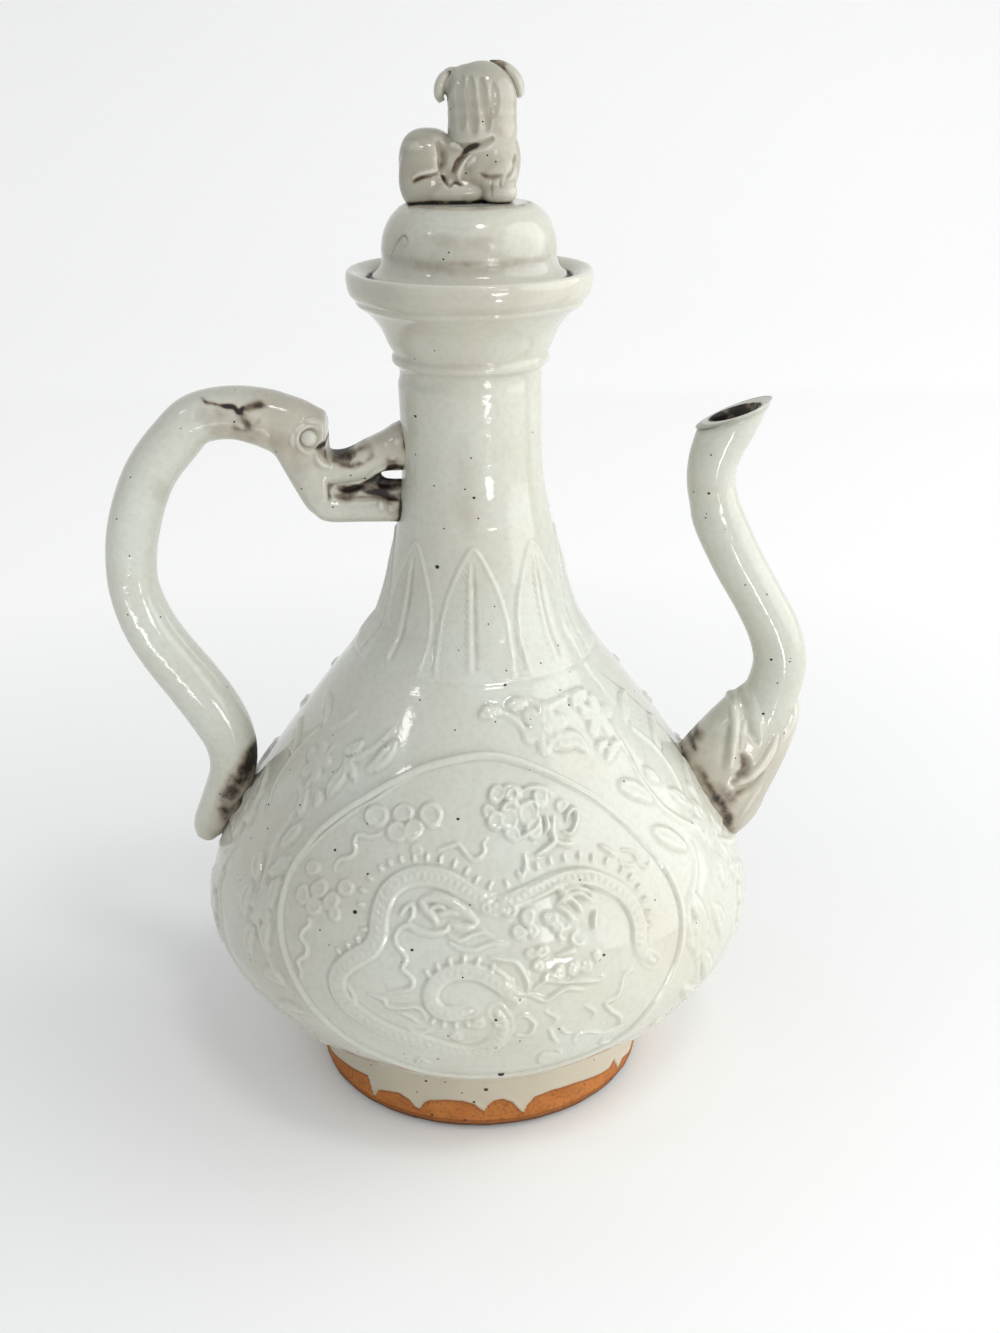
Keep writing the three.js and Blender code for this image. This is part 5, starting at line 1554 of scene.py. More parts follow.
HEAD_STAINS = [
    ([(315.8, 448.2), (322.6, 444.8), (330, 440.8)], 1.3, 1.0),
    ([(318.3, 449), (325.4, 454.7), (330, 459)], 3.4, 0.6),
    ([(329, 453.5), (337, 456), (344.1, 456.4), (351, 453.8)], 5.6, 1.0),
    ([(334, 461), (344.1, 464.5), (354.1, 465.2), (362.7, 463.7)], 2.6, 0.8),
    ([(354.1, 453.3), (362.7, 448.6), (369.9, 449.7), (371.3, 456.1), (365.6, 461.9)],
     2.4, 0.55),
    ([(338.8, 492.7), (347, 493), (354.1, 491.6), (360.1, 489.8)], 2.8, 1.0),
    ([(334.9, 497.2), (345.5, 499.4), (356.1, 496.3)], 3.0, 0.6),
    ([(359.3, 490.1), (369.9, 485.3), (377.1, 480.1), (385.3, 474.3)], 3.2, 1.0),
    ([(359.3, 492.2), (372.8, 494.6), (385.7, 498.2), (396.3, 501.3)], 2.8, 1.0),
    ([(373.6, 487.7), (384.3, 487.7), (394.3, 486.3), (404.9, 484.8)], 6.5, 1.0),
    ([(384.3, 473.8), (390, 469.5), (397.2, 467.6), (403.6, 470.5), (405, 478.6)], 2.6, 1.0),
    ([(405, 480.8), (403.2, 497.7), (401.3, 509.2), (399.9, 523.6)], 1.8, 1.0),
    ([(385.1, 465.7), (393.3, 461.4), (402.9, 462.3)], 4.0, 0.5),
    ([(384.7, 502.5), (391.4, 509.6), (396.7, 517.4)], 4.2, 0.5),
    ([(231.9, 424.3), (248, 428.9), (265.2, 434.6), (280.1, 440.4), (293.9, 451.8)], 7, 0.34),
    ([(276.7, 440.4), (288.1, 445), (298.5, 456.4), (305.4, 474.8)], 8, 0.3),
    ([(219, 405), (226, 406), (233.6, 406.8), (239.3, 412), (244, 407.5), (250, 411)],
     1.6, 1.0),
    ([(200.5, 399), (205, 402.5), (211, 403.5), (219, 405)], 1.0, 1.0),
    ([(243, 409), (251, 406.5), (258, 405), (265, 406)], 2.8, 0.75),
    ([(239, 413), (246, 420), (251, 428)], 4.0, 0.75),
    ([(231, 425), (241, 430), (252, 427), (260, 419)], 3.0, 0.55),
    ([(212, 411), (221, 415), (229, 420)], 4.0, 0.35),
    ([(155, 478), (161, 495), (167, 512)], 5.0, 0.16),
    ([(205, 416), (225, 426), (245, 431), (265, 436)], 10, 0.38),
    ([(247, 769), (254, 762), (262, 754), (268, 748)], 9, 1.0),
    ([(238, 785), (246, 774), (256, 764)], 9.5, 0.85),
    ([(224, 818), (229, 797), (236, 783), (243, 772)], 7, 0.75),
]


class EWER_OT_handle(bpy.types.Operator):
    """Model the loop handle and the dragon's head that bites the neck"""
    bl_idname = "ewer.handle"
    bl_label = "Handle and dragon's head"

    def execute(self, context):
        sizes, _, vessel = measures(context)
        strap_top = SHOULDER + STRAP_TOP
        stations = stations_of(vessel, HANDLE, sizes.belly_radius + STRAP_REACH,
                               SHOULDER + STRAP_LOW, strap_top, -1)
        stations[:, 2:] *= sizes.strap / 2
        start = stations[0, 0]
        # The strap runs on into the head, lower and thinner.
        ahead = stations[0] + (4.0, -1.6, -1.6, -1.4)
        middle = strap_top - HEAD_DROP + sizes.strap / 2

        def along_head(table):
            return np.array([(start + a * HEAD_LENGTH, middle + u * HEAD_HEIGHT,
                              t * HEAD_HEIGHT, w * HEAD_WIDTH) for a, u, t, w in table])
        parts = [bar(np.vstack([ahead, stations]), 40, 150, square=2.25)]
        for table, around, square in ((SKULL, 48, 2.5), (UPPER_JAW, 40, 2.4),
                                      (LOWER_JAW, 40, 2.6), (TONGUE, 24, 2.0)):
            parts.append(bar(along_head(table), around, 40, square, upright=True))
        whole = kneaded(parts, grain=0.42, passes=22)
        relief = side_relief(points_of(whole), depth=-8)
        relief.strokes(HEAD_RIDGES, ends=(0.6, 0.6))
        relief.strokes(HEAD_CUTS, ends=(0.6, 0.6), cut=True)
        # Hollows round the eyeballs.
        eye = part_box("handle_eye_front")
        eye_place = [(eye[0].x + eye[1].x) / 2 / MM, (eye[0].z + eye[1].z) / 2 / MM]
        gap = np.hypot(relief.across - eye_place[0], relief.along - eye_place[1])
        relief.rise -= np.clip(1 - (gap / 3.4) ** 2, 0, 1)
        pressed(whole, relief)
        points = kept_out(points_of(whole), vessel, 0.6)
        set_points(whole, points)
        wander = np.sin(points * (0.55, 0.7, 0.61)).prod(axis=1)
        # Stain gathers at the joints, wider at the low one, and in the head's hollows.
        off = vessel.beyond(points)
        ground = np.clip(np.exp(-off / np.interp(points[:, 2], [140, 160], [3.6, 1.0])), 0, 1)
        headward = eased((points[:, 0] - start + 8) / 8)
        ground = 0.8 * ground * (0.75 + 0.5 * wander) + 0.1 * headward
        ground += recesses(mark_relief(whole, reach=2.2)) * headward
        stained(whole, -7, HEAD_STAINS, np.clip(ground, 0, 1))
        mark(whole, "warm", np.interp(points[:, 2], [75, 110, 185, 205], [0.6, 0.3, 0.3, 0.6])
             + 0.25 * eased((points[:, 0] - start + 6) / 10))
        handle, head = parted(whole, (start, 0, 0), (1, 0, 0))
        glaze_look = glaze_material(context)
        finish_mesh(handle, "handle_loop", EWER, glaze_look)
        finish_mesh(head, "dragon_head", EWER, glaze_look)
        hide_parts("handle")
        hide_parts("handle_head")
        for side, name in ((-1, "handle_eye_front"), (1, "handle_eye_back")):
            ball = lump((eye_place[0], side * 8.3, eye_place[1]), (2.3, 1.7, 2.3))
            mark(ball, "warm", 0.7)
            # Marked as standing proud, so the eyeball takes the paler edge tint, partly a painted
            # highlight.
            mark(ball, "proud", 0.2)
            finish_mesh(ball, name + "_ball", EWER, glaze_look)
            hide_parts(name)
        return {"FINISHED"}


# The spout and its sheath

# Shares: way out from the vessel's surface, height and radius.
SPOUT = [
    (-0.3, -0.06, 1.5), (0.076, 0, 1.5), (0.56, 0.09, 1.31), (0.85, 0.173, 1.12),
    (0.953, 0.252, 1.04), (0.996, 0.33, 1.01), (0.96, 0.407, 0.98), (0.881, 0.491, 0.93),
    (0.783, 0.592, 0.94), (0.706, 0.693, 0.95), (0.685, 0.742, 0.9), (0.674, 0.792, 0.89),
    (0.682, 0.839, 0.91), (0.706, 0.883, 0.95), (0.742, 0.931, 1), (0.791, 1, 1.02),
    (0.86, 1.09, 1.06)]
LIP_TILT = 20.5         # degrees
SPOUT_WALL = 3.0        # mm
SPOUT_STEPS = 241
# The spout's ends and its lip above the shoulder's joint, and its reach past the belly.
SPOUT_LOW, SPOUT_TOP, SPOUT_LIP, SPOUT_REACH = -49.4, 74.5, 68.3, 9.2
# The sheath's stations: x, height, half thickness and half width in mm.
SHEATH = [(71, 82, 15.5, 13), (77.3, 89.4, 16.4, 14.2), (81, 95.8, 15.5, 13.6),
          (85.8, 103.8, 14.4, 11.8), (90, 111, 13.0, 9.6), (92.4, 116.2, 11.6, 8.4),
          (93.4, 120.8, 9.6, 7.2), (93.8, 126, 5.6, 5)]
SHEATH_RIDGES = [
    ([(745, 679), (741, 692), (738, 711), (738, 732), (734, 752), (731, 768)], 2.6, 1.1),
    ([(741, 683), (733, 694), (720, 704), (710, 713), (700, 724), (693, 738)], 2.4, 0.5),
    ([(779, 743), (773, 755), (766, 765), (757, 774), (747, 780), (736, 782)], 3.4, 1.2),
    ([(800, 717), (797, 729), (790, 741), (782, 752)], 2.4, 0.8),
    ([(748, 727), (744, 740), (743, 752)], 1.8, 0.5),
    ([(762, 790), (751, 803), (741, 817)], 1.8, 0.4)]
SHEATH_CUTS = [
    ([(743, 758), (747, 765), (745, 772), (738, 775)], 3.6, 1.2),
    ([(731, 735), (727, 752), (723, 768)], 3.6, 0.5),
    ([(750, 692), (750, 712), (752, 730), (758, 746)], 4.0, 0.6),
    ([(764, 776), (752, 788), (738, 792)], 2.6, 0.6)]
SHEATH_STAINS = [
    ([(686, 740), (690, 748), (697, 756)], 4.0, 0.8),
    ([(692, 745), (700, 747), (707, 743)], 3.0, 0.6),
    ([(697, 768), (706, 780), (714, 790)], 4.0, 0.6),
    ([(709, 785), (718, 798), (725, 810), (731, 828)], 4.2, 0.75),
    ([(718, 782), (727, 792), (734, 804)], 5.0, 0.5),
    ([(741, 757), (744, 765), (742, 773), (733, 780)], 3.4, 0.6),
    ([(752, 779), (742, 788), (731, 794)], 3.4, 0.5),
    ([(735, 690), (738, 700), (736, 712)], 2.4, 0.35),
    ([(724, 716), (720, 735), (716, 752)], 8.0, 0.18), ([(744, 700), (750, 715)], 3.0, 0.3)]


class EWER_OT_spout(bpy.types.Operator):
    """Model the S-shaped spout with its slanted lip, and the leaf sheath at its root"""
    bl_idname = "ewer.spout"
    bl_label = "Spout and sheath"

    def execute(self, context):
        sizes, _, vessel = measures(context)
        stations = stations_of(vessel, SPOUT, sizes.belly_radius + SPOUT_REACH,
                               SHOULDER + SPOUT_LOW, SHOULDER + SPOUT_TOP, 1)
        stations[:, 2] *= sizes.spout_radius
        lip_place = np.array([stations[-3, 0], SHOULDER + SPOUT_LIP])
        tilt = math.radians(LIP_TILT)
        lip_out = np.array([-math.sin(tilt), math.cos(tilt)])
        course = even(curve_through(stations, step=12), SPOUT_STEPS)
        rows = np.column_stack([course, heading(course)])
        places = np.linspace(0, 1, SPOUT_STEPS)

        def place(around_share, there_and_back):
            # Out along the tube's skin, round the lip, and back down its bore.
            back = there_and_back > 0.5
            along = np.where(back, 2 * (1 - there_and_back), 2 * there_and_back)
            x, z, radius, dx, dz = (np.interp(along, places, row) for row in rows.T)
            across = np.cos(around_share * math.tau)
            level = np.sin(around_share * math.tau)
            # The wall thins towards its lip.
            thin = SPOUT_WALL * np.interp(along, [0, 0.85, 0.93, 1], [1, 1, 0.72, 0.7])
            radius = radius - np.where(back, thin, 0)
            point = np.column_stack([x - dz * radius * across, z + dx * radius * across])
            over = (point - lip_place) @ lip_out
            steep = dx * lip_out[0] + dz * lip_out[1]
            cut = np.maximum(over, 0) / np.maximum(steep, 0.2)
            point -= np.column_stack([dx, dz]) * cut[:, None]
            # The lip is rounded over.
            edge = eased((over + 0.9) / 0.9)
            middle = radius + np.where(back, thin, 0) - thin / 2
            squeeze = 1 + (middle / radius - 1) * edge * 0.45
            centre = np.column_stack([x, z]) - np.column_stack([dx, dz]) * cut[:, None]
            point = centre + (point - centre) * squeeze[:, None]
            return np.column_stack([point[:, 0], radius * level * squeeze, point[:, 1]])
        spout = wrapped(64, 640, place)
        points = kept_out(points_of(spout), vessel, sizes.wall * 0.5)
        set_points(spout, points)
        mark_relief(spout, reach=2.0)
        depth = (points[:, [0, 2]] - lip_place) @ lip_out
        # The bore just below the lip is painted dark, as painted shade inside the tube.
        middle = np.argmin((points[:, :1] - course[:, 0]) ** 2
                           + (points[:, 2:] - course[:, 1]) ** 2, axis=1)
        radius = np.hypot(np.hypot(points[:, 0] - course[middle, 0],
                                   points[:, 2] - course[middle, 1]), points[:, 1])
        within = (depth < 0.5) & (depth > -16) & (radius < course[middle, 2] - 1.9)
        mark(spout, "stain", 1.0 * within)
        mark(spout, "warm", np.interp(points[:, 2], [90, 140, 205], [0.4, 0.35, 0.25]))
        finish_mesh(spout, "spout_tube", EWER, glaze_material(context))
        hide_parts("spout")

        collar = bar(np.array(SHEATH, float), 56, 60, square=2.2)
        sheath = kneaded([collar], grain=0.5, passes=12)
        relief = side_relief(points_of(sheath), depth=-13)
        relief.strokes(SHEATH_RIDGES)
        relief.strokes(SHEATH_CUTS, ends=(0.6, 0.6), cut=True)
        pressed(sheath, relief, passes=2)
        points = kept_out(points_of(sheath), vessel, 0.8)
        set_points(sheath, points)
        mark_relief(sheath, reach=3.0)
        off = np.maximum(vessel.beyond(points), 0)
        stained(sheath, -12, SHEATH_STAINS, 0.1 + 0.5 * np.exp(-off / 3.0))
        mark(sheath, "warm", np.interp(points[:, 2], [80, 100, 120], [1.35, 1.0, 0.35]))
        finish_mesh(sheath, "spout_leaf_sheath", EWER, glaze_material(context))
        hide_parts("spout_sheath")
        return {"FINISHED"}


# The lion on the lid

LION_SIZE = (35, 20, 36)
LION_PLACE = (AXIS - 2.1, 0, LID_TOP)
# Lumps of clay in shares of its size: place, half size, tilt in degrees and squareness.
LION_BODY = [
    ((-0.25, 0, 0.26), (0.225, 0.4, 0.275), 0, 2.6),
    ((-0.28, -0.2, 0.22), (0.19, 0.25, 0.27), 6, 2.3),
    ((-0.28, 0.2, 0.22), (0.19, 0.25, 0.27), 6, 2.3),
    ((0, 0, 0.22), (0.34, 0.36, 0.27), 0, 2.6),
    ((0.2, 0, 0.3), (0.27, 0.42, 0.34), 0), ((0.27, -0.2, 0.2), (0.17, 0.24, 0.2), 0),
    ((0.27, 0.2, 0.2), (0.17, 0.24, 0.2), 0), ((-0.1, -0.26, 0.09), (0.3, 0.18, 0.11), 0),
    ((-0.1, 0.26, 0.09), (0.3, 0.18, 0.11), 0), ((0.3, -0.25, 0.08), (0.14, 0.2, 0.1), 0),
    ((0.3, 0.25, 0.08), (0.14, 0.2, 0.1), 0)]
LION_HEAD = [
    ((0.175, -0.02, 0.73), (0.27, 0.4, 0.27), 0), ((-0.05, 0.05, 0.85), (0.1, 0.16, 0.11), 0),
    ((0.08, 0, 0.86), (0.16, 0.26, 0.12), 0),
    ((0.175, -0.05, 0.63), (0.268, 0.395, 0.2), 0), ((0.175, -0.06, 0.52), (0.27, 0.4, 0.3), 0),
    ((0.17, 0.3, 0.66), (0.18, 0.26, 0.13), 0), ((0.18, 0.26, 0.84), (0.21, 0.22, 0.1), 0),
    ((0.17, 0.5, 0.72), (0.06, 0.08, 0.05), 0), ((0.09, 0.4, 0.8), (0.06, 0.07, 0.05), 0),
    ((0.26, 0.4, 0.8), (0.06, 0.07, 0.05), 0), ((0.17, 0.44, 0.6), (0.13, 0.1, 0.04), 0)]
LION_MANE_CUTS = [
    ([(461.6, 78), (460.5, 94.2), (461.9, 108.9), (461.1, 128)], 3.2, 0.45),
    ([(470, 78), (471, 97.4), (472.7, 111.1), (473.6, 130.9)], 3.4, 0.6),
    ([(481, 79.6), (483.2, 97.4), (485.5, 113.2), (486.5, 128)], 3.2, 0.5),
    ([(493, 84), (494.5, 98.4), (493.2, 115.3)], 3.0, 0.35),
    ([(448.4, 143.5), (457.9, 147.6), (470.5, 147.6), (481.1, 144.8), (491.6, 139.7)],
     2.4, 0.7)]
LION_BODY_CUTS = [
    ([(478.9, 145.3), (470.5, 150), (460, 160.5), (452.6, 173.2)], 1.8, 1.1),
    ([(441.1, 174.7), (445.3, 181.1), (449.5, 185.8), (454.2, 181.8), (462.1, 185.8)],
     0.9, 0.8),
    ([(412.6, 182.8), (420, 177.9), (428.4, 176), (439.5, 173.7)], 1.0, 0.8),
    ([(437.4, 142.6), (442.1, 153.2), (441.1, 171.1)], 2.6, 1.0),
    ([(480, 174.8), (489.5, 177.4), (501.1, 175.9)], 1.3, 0.7),
    ([(515.8, 155.3), (513.2, 168.9), (505.3, 179.5)], 1.0, 0.6),
    ([(492, 178), (491, 188), (492, 198)], 0.8, 0.4), ([(500, 178), (500, 188)], 0.8, 0.4)]
LION_BODY_RIDGES = [
    ([(470.5, 153.7), (463.2, 162.6), (458.7, 172.1), (458.4, 180.5)], 1.6, 0.8),
    ([(474.7, 157.4), (470.5, 162.6), (466.3, 167.9)], 1.5, 0.6),
    ([(449, 146), (456, 146), (461, 149)], 2.0, 0.6),
    ([(413, 178), (421, 174), (430, 172), (438, 170)], 1.6, 0.5),
    ([(404, 148), (412, 146), (420, 148)], 3.0, 0.3)]
LION_STAINS = [
    ([(409.5, 203.6), (432.6, 203), (464.2, 202.8), (505.3, 203.2)], 1.5, 1.0),
    ([(480.4, 144.3), (474, 146.5), (467.5, 150), (462, 156)], 1.8, 1.0),
    ([(462, 156), (457, 162), (454, 168), (450.6, 174.2)], 1.6, 0.8),
    ([(441.1, 174.7), (445.3, 181.1)], 1.0, 0.9), ([(454.8, 181.6), (462.1, 185.8)], 1.0, 0.9),
    ([(412.6, 182.8), (417, 179.5), (421, 177.6), (428.4, 176)], 1.0, 0.85),
    ([(480, 174.4), (489.5, 176.8), (501.1, 175.3)], 2.0, 0.5),
    ([(461, 196), (467, 198), (474, 196)], 2.4, 0.35),
    ([(440, 158), (441, 168), (436, 172)], 2.2, 0.25),
    ([(489, 125), (494, 115), (498, 128), (505, 134)], 4.0, 0.22),
    ([(470, 110), (474, 122), (476, 138)], 3.0, 0.16)]
# The ears' curled strips: picture pixels, half thickness and half width in mm.
LEFT_EAR = [(460, 73.6, 1.0, 2.2), (452.6, 73.4, 1.3, 3.2), (444.5, 77, 1.5, 3.9),
            (440, 86, 1.6, 4.0), (439.4, 95.3, 1.4, 3.4), (442, 101.5, 0.9, 2.0)]
RIGHT_EAR = [(489.5, 63.8, 1.0, 2.4), (500.1, 65.5, 1.4, 3.4), (510.2, 71.5, 1.6, 3.9),
             (517, 81.5, 1.7, 4.0), (519, 91.5, 1.5, 3.4), (516.5, 96.4, 0.9, 2.2)]


def lion_lump(place, half, tilt, square=2.0):
    centre = np.array(LION_PLACE) + np.multiply(place, LION_SIZE)
    return lump(centre, np.multiply(half, LION_SIZE), tilt, square)


class EWER_OT_lion(bpy.types.Operator):
    """Model the seated lion on the lid: body, head with its combed mane, and ears"""
    bl_idname = "ewer.lion"
    bl_label = "Lion finial"

    def execute(self, context):
        glaze_look = glaze_material(context)
        body = kneaded([lion_lump(*shape) for shape in LION_BODY], grain=0.38, passes=8)
        relief = side_relief(points_of(body), depth=-8)
        relief.strokes(LION_BODY_RIDGES)
        relief.strokes(LION_BODY_CUTS, cut=True)
        pressed(body, relief)
        points = points_of(body)
        points[:, 2] = np.maximum(points[:, 2], LID_TOP - 0.3)
        set_points(body, points)
        # Dirt in the seam on the lid.
        seam = np.clip(1.2 - (points[:, 2] - LID_TOP) / 0.9, 0, 1)
        ground = 0.1 + recesses(mark_relief(body, reach=2.4))
        stained(body, -8, LION_STAINS, np.maximum(seam, ground))
        mark(body, "warm", 1.75)
        finish_mesh(body, "lion_seated_body", LID, glaze_look)
        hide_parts("lion_body")

        head = kneaded([lion_lump(*shape) for shape in LION_HEAD], grain=0.32, passes=30)
        relief = side_relief(points_of(head), depth=-9)
        relief.strokes(LION_MANE_CUTS, ends=(0.5, 0.7), cut=True)
        # The mane is combed on every side but the face.
        relief.rise *= eased((0.2 - normals_of(head)[:, 1]) / 0.4)
        pressed(head, relief)
        stained(head, -9, LION_STAINS, 0.04 + recesses(mark_relief(head, reach=2.2)))
        mark(head, "warm", 1.55)
        finish_mesh(head, "lion_head_with_mane", LID, glaze_look)
        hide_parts("lion_head")

        for stations, name in ((LEFT_EAR, "lion_ear_left"), (RIGHT_EAR, "lion_ear_right")):
            stations = np.array(stations)
            flat = on_plane(2)(stations[:, :2])
            ear = bar(np.column_stack([flat, stations[:, 2:]]), 28, 40, square=2.3)
            points = points_of(ear)
            points[:, 1] += 1.6
            set_points(ear, points)
            mark_relief(ear, reach=1.6)
            centre = points.mean(0)
            inner = (points[:, 0] - centre[0]) * (1 if name.endswith("left") else -1)
            mark(ear, "stain", np.clip(inner / 2.0, 0, 0.7))
            mark(ear, "warm", 1.5)
            finish_mesh(ear, name + "_curl", LID, glaze_look)
            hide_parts(name)
        return {"FINISHED"}


# The largest iron specks, where the picture shows them: by radius in mm, picture pixels

SPECKS = {
    0.26: [
        (415.6, 454.6), (414.4, 415.8), (532.7, 432.3), (471.2, 458), (465, 489.3),
        (478.3, 518.4), (444, 528.5), (459, 650.2), (488.4, 624.1), (506.3, 670.7),
        (540.7, 663.1), (558.2, 645.4), (434, 485.8), (371, 1065), (417, 1092), (445, 1082),
        (462, 1093), (404, 1054), (448, 1036), (496, 1048), (520, 1041), (504, 1066),
        (559, 1029), (577, 1062), (594, 1060), (130.5, 477.3), (116.7, 519), (129.6, 556),
        (127.7, 614.8), (160.5, 617), (227.2, 686.7), (219.8, 794), (705.7, 517.8),
        (745.2, 585), (766.9, 594.4), (790, 661.7), (777.3, 683), (711, 455), (693.5, 491.8),
        (350.7, 475.4), (276.1, 451.8), (301.4, 488.6), (332.9, 507.2), (290, 770),
        (300, 805), (333, 772), (420, 700), (455, 730), (530, 770), (560, 690), (640, 720),
        (655, 900), (240, 880), (250, 960), (320, 930), (470, 905), (520, 1000), (580, 880),
        (600, 960), (443.4, 259.3), (448.8, 252.5), (487.4, 155.3), (495.8, 161.6),
        (466.1, 173.2), (482.6, 121.6)],
    0.42: [
        (415.6, 416.4), (474, 497.8), (505.1, 685.2), (426, 1081), (474, 1102), (438, 1059),
        (415, 1116), (432, 1115), (465, 1120), (611, 1078.5), (708.8, 493.4), (771.2, 659.6),
        (763.2, 713.7), (364.5, 478.3), (458, 819), (354.8, 912), (604, 955), (412, 950),
        (496, 1020), (335, 850)],
    0.62: [(437.2, 566.9), (486, 1089.6), (355, 912)],
    0.85: [(501, 1074)],
}
SPECKED = {EWER: ("foot_turned", "body_skin_front", "dragon_panel_front", "neck_with_leaves",
                  "handle_loop", "dragon_head", "spout_tube", "spout_leaf_sheath"),
           LID: ("lid_cover_turned", "lion_seated_body", "lion_head_with_mane")}


class EWER_OT_specks(bpy.types.Operator):
    """Lay the largest iron specks on the glaze, as low blisters"""
    bl_idname = "ewer.specks"
    bl_label = "Iron specks"

    def execute(self, context):
        camera = Vector(CAMERA_PLACE) * MM
        found = {EWER: [], LID: []}
        for radius, places in SPECKS.items():
            for ray in picture_rays(places):
                ray = Vector(ray).normalized()
                hits = []
                for body, names in SPECKED.items():
                    for name in names:
                        hit, place, normal, _ = bpy.data.objects[name].ray_cast(camera, ray)
                        if hit:
                            hits.append(((place - camera).length, body, place, normal))
                if hits:
                    _, body, place, normal = min(hits, key=lambda hit: hit[0])
                    found[body].append((place, normal, radius))
        for body, specks in found.items():
            deselect()
            made = []
            for place, normal, radius in specks:
                bpy.ops.mesh.primitive_uv_sphere_add(segments=10, ring_count=6, radius=1)
                speck = context.object
                turn = normal.to_track_quat("Z", "Y").to_matrix()
                # A flat oval blister, 0.07 mm high.
                flat = Matrix.Diagonal((radius * 1.15, radius * 0.9, 0.07)) * MM
                speck.data.transform((turn @ flat).to_4x4())
                speck.data.transform(Matrix.Translation(place))
                made.append(speck)
            whole = joined(made)
            mark(whole, "stain", 1.6)
            finish_mesh(whole, "iron_specks_" + body, body, glaze_material(context))
        return {"FINISHED"}


# The floor, the lights and the camera

class StudioLight(bpy.types.PropertyGroup):
    """The soft light on the ewer"""
    world: bpy.props.FloatProperty(
        name="Room", description="Strength of the even light from all round", default=0.59)
    overhead: power("Overhead", "The softbox above and in front", 1.75)
    side: power("Right", "The wide white wall of light on the right", 11.9)
    left: power("Left", "The small soft light high on the left", 0.3)
    strip: power("Strip", "The small light low in front, for the streak on the neck", 0.28)
    glint: power("Glint", "The small bright light in front on the right", 0.17)
    low_left: power("Low left", "The light low on the left, for the handle's streak", 0.13)
    low: power("Low strip", "The small light low on the right, for the spout's streak", 0.09)


# Each lamp: name, its power's key, place and target from the ewer's axis, width and height,
# all in mm.
LAMPS = [
    ("Overhead softbox", "overhead", (230, -540, 1120), (0, 0, 150), 240, 190),
    ("Right wall", "side", (1150, -120, 560), (0, 0, 150), 1800, 1300),
    ("Left light", "left", (-780, -450, 900), (0, 0, 170), 110, 90),
    ("Front strip", "strip", (240, -470, 132), (0, 0, 200), 130, 80),
    ("Glint light", "glint", (330, -560, 430), (20, 0, 100), 90, 130),
    ("Low left", "low_left", (-195, -360, 14), (-80, 0, 150), 200, 18),
    ("Low strip", "low", (170, -340, 40), (85, 0, 160), 34, 60),
]
# The floor seen from the side, in mm: it runs back and curves up into the wall behind.
FLOOR = [(-3000, 0), (500, 0), (1100, 20), (1600, 250), (1800, 900), (1850, 3000)]
FLOOR_WIDTH = 7000


def lamp(name, place, target, width, height, watts):
    """A soft oval light, aimed at its target."""
    light = bpy.data.lights.new(name, "AREA")
    light.shape = "ELLIPSE"
    light.size, light.size_y, light.energy = width * MM, height * MM, watts
    holder = bpy.data.objects.new(name, light)
    bpy.context.scene.collection.objects.link(holder)
    aim = Vector(target) - Vector(place)
    holder.location = Vector((AXIS + place[0], *place[1:])) * MM
    holder.rotation_euler = aim.to_track_quat("-Z", "Y").to_euler()
    return holder


class EWER_OT_stage(bpy.types.Operator):
    """Lay the pale floor, place the studio lights and set up the camera"""
    bl_idname = "ewer.stage"
    bl_label = "Floor, lights and camera"

    def execute(self, context):
        light = context.scene.ewer_light
        deselect()
        course = curve_through(FLOOR, step=8)
        bpy.ops.mesh.primitive_grid_add(x_subdivisions=1, y_subdivisions=len(course) - 1,
                                        size=1)
        floor = context.object
        across, back = (points_of(floor)[:, :2] * MM + 0.5).T
        rows = np.rint(back * (len(course) - 1)).astype(int)
        set_points(floor, np.column_stack([(across - 0.5) * FLOOR_WIDTH, course[rows]]))
        bpy.ops.object.shade_smooth()
        floor.name = floor.data.name = "studio_sweep"
        floor.data.materials.append(paper())
        lamps = {name: lamp(name, *where, getattr(light, key)) for name, key, *where in LAMPS}
        # The low light on the left is for the handle alone.
        lit = bpy.data.collections.new("Lit by the low left light")
        lit.objects.link(bpy.data.objects["handle_loop"])
        lamps["Low left"].light_linking.receiver_collection = lit
        world = bpy.data.worlds.new("Studio room")
        context.scene.world = world
        world.use_nodes = True
        backdrop = world.node_tree.nodes["Background"]
        backdrop.inputs["Color"].default_value = linear(0xF8FBFF)
        backdrop.inputs["Strength"].default_value = light.world
        right, above, ahead = (Vector(axis) for axis in camera_axes())
        camera = bpy.data.objects.new("Camera", bpy.data.cameras.new("Camera"))
        context.scene.collection.objects.link(camera)
        turned_to = Matrix((right, above, -ahead)).transposed().to_4x4()
        camera.matrix_world = Matrix.Translation(Vector(CAMERA_PLACE) * MM) @ turned_to
        camera.data.sensor_width = SENSOR_MM
        camera.data.lens = FOCAL_PIXELS / PICTURE_HEIGHT * SENSOR_MM
        context.scene.camera = camera
        context.scene.view_settings.view_transform = "Standard"
        return {"FINISHED"}


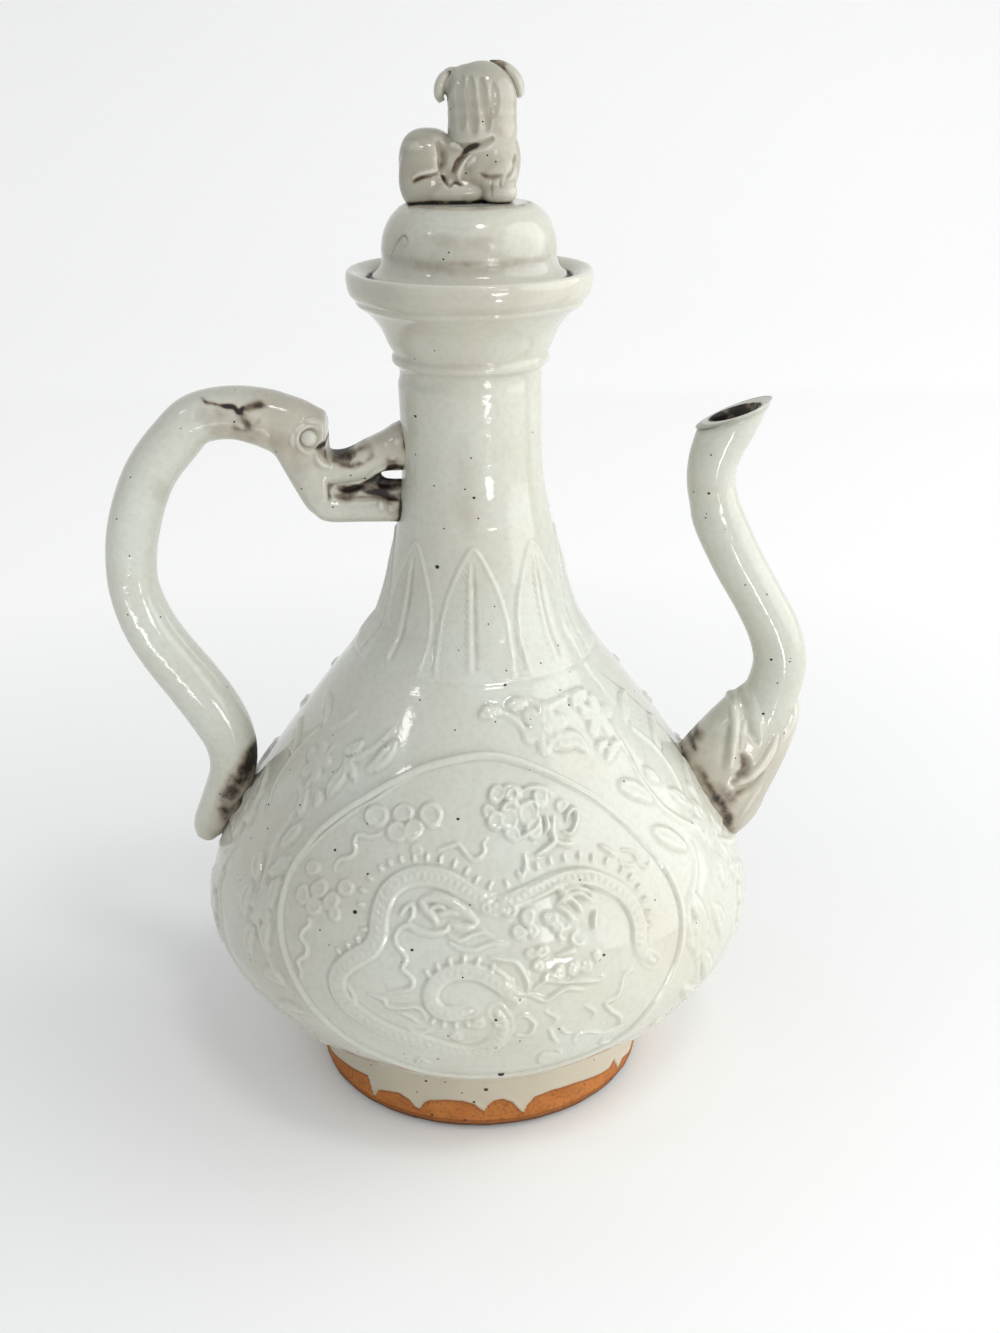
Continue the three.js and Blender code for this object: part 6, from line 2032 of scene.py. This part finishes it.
def paper():
    """White background paper: matt, and bright enough behind the ewer to read as white,
    while it keeps the soft shadow."""
    material, tree = new_material("White background paper")
    sheet = node(tree, "ShaderNodeBsdfPrincipled", {
        "Base Color": linear(0xF4F4F2), "Roughness": 0.9})
    ray = node(tree, "ShaderNodeLightPath").outputs
    seen = node(tree, "ShaderNodeMath", {
        0: ray["Is Camera Ray"], 1: ray["Is Glossy Ray"]}, operation="MAXIMUM")
    seen = node(tree, "ShaderNodeMath", {
        0: seen, 1: ray["Is Transmission Ray"]}, operation="MAXIMUM")
    place = node(tree, "ShaderNodeTexCoord").outputs["Object"]
    parts = node(tree, "ShaderNodeSeparateXYZ", {0: place}).outputs
    # The glow is painted a little darker towards the left and the top, as painted shade.
    aside = node(tree, "ShaderNodeMapRange", {0: parts[0], 1: -0.5, 2: 0.5, 3: 1.09, 4: 1.21})
    high = node(tree, "ShaderNodeMapRange", {0: parts[2], 1: 0.1, 2: 1.3, 4: 0.3})
    fall = node(tree, "ShaderNodeMath", {0: aside, 1: high}, operation="SUBTRACT")
    glow = node(tree, "ShaderNodeEmission", {"Color": linear(0xFAFAFA), "Strength": fall})
    # The floor by the ewer keeps more of its own shade than the wall does.
    reach = node(tree, "ShaderNodeVectorMath", {0: place}, operation="LENGTH")
    far = node(tree, "ShaderNodeMapRange", {0: reach.outputs["Value"], 1: 0.1, 2: 0.5,
                                            3: 0.08, 4: 0.6})
    share = node(tree, "ShaderNodeMath", {0: seen, 1: far}, operation="MULTIPLY")
    both = node(tree, "ShaderNodeMixShader", {0: share, 1: sheet, 2: glow})
    node(tree, "ShaderNodeOutputMaterial", {"Surface": both})
    return material


# The add-on

PIECES = [EWER_OT_foot, EWER_OT_body, EWER_OT_neck, EWER_OT_mouth, EWER_OT_handle,
          EWER_OT_spout, EWER_OT_lid, EWER_OT_lion, EWER_OT_specks, EWER_OT_stage]


class EWER_PT_tools(bpy.types.Panel):
    """Lists the ewer's pieces in the sidebar"""
    bl_label = "Lidded ewer"
    bl_idname = "EWER_PT_tools"
    bl_space_type = "VIEW_3D"
    bl_region_type = "UI"
    bl_category = "Ewer"

    def draw(self, context):
        for piece in PIECES:
            self.layout.operator(piece.bl_idname)
        for name in GROUPS:
            group = getattr(context.scene, name)
            box = self.layout.box()
            for key in group.__annotations__:
                box.prop(group, key)


GROUPS = {"ewer_sizes": VesselSizes, "ewer_relief": ReliefSizes, "ewer_colours": GlazeColours,
          "ewer_light": StudioLight}


def register():
    for kind in (*GROUPS.values(), *PIECES, EWER_PT_tools):
        bpy.utils.register_class(kind)
    for name, group in GROUPS.items():
        setattr(bpy.types.Scene, name, bpy.props.PointerProperty(type=group))


def unregister():
    for name in GROUPS:
        delattr(bpy.types.Scene, name)
    for kind in (EWER_PT_tools, *reversed(PIECES), *reversed(list(GROUPS.values()))):
        bpy.utils.unregister_class(kind)


def main():
    register()
    for piece in PIECES:
        family, name = piece.bl_idname.split(".")
        getattr(getattr(bpy.ops, family), name)()


if __name__ == "__main__":
    main()
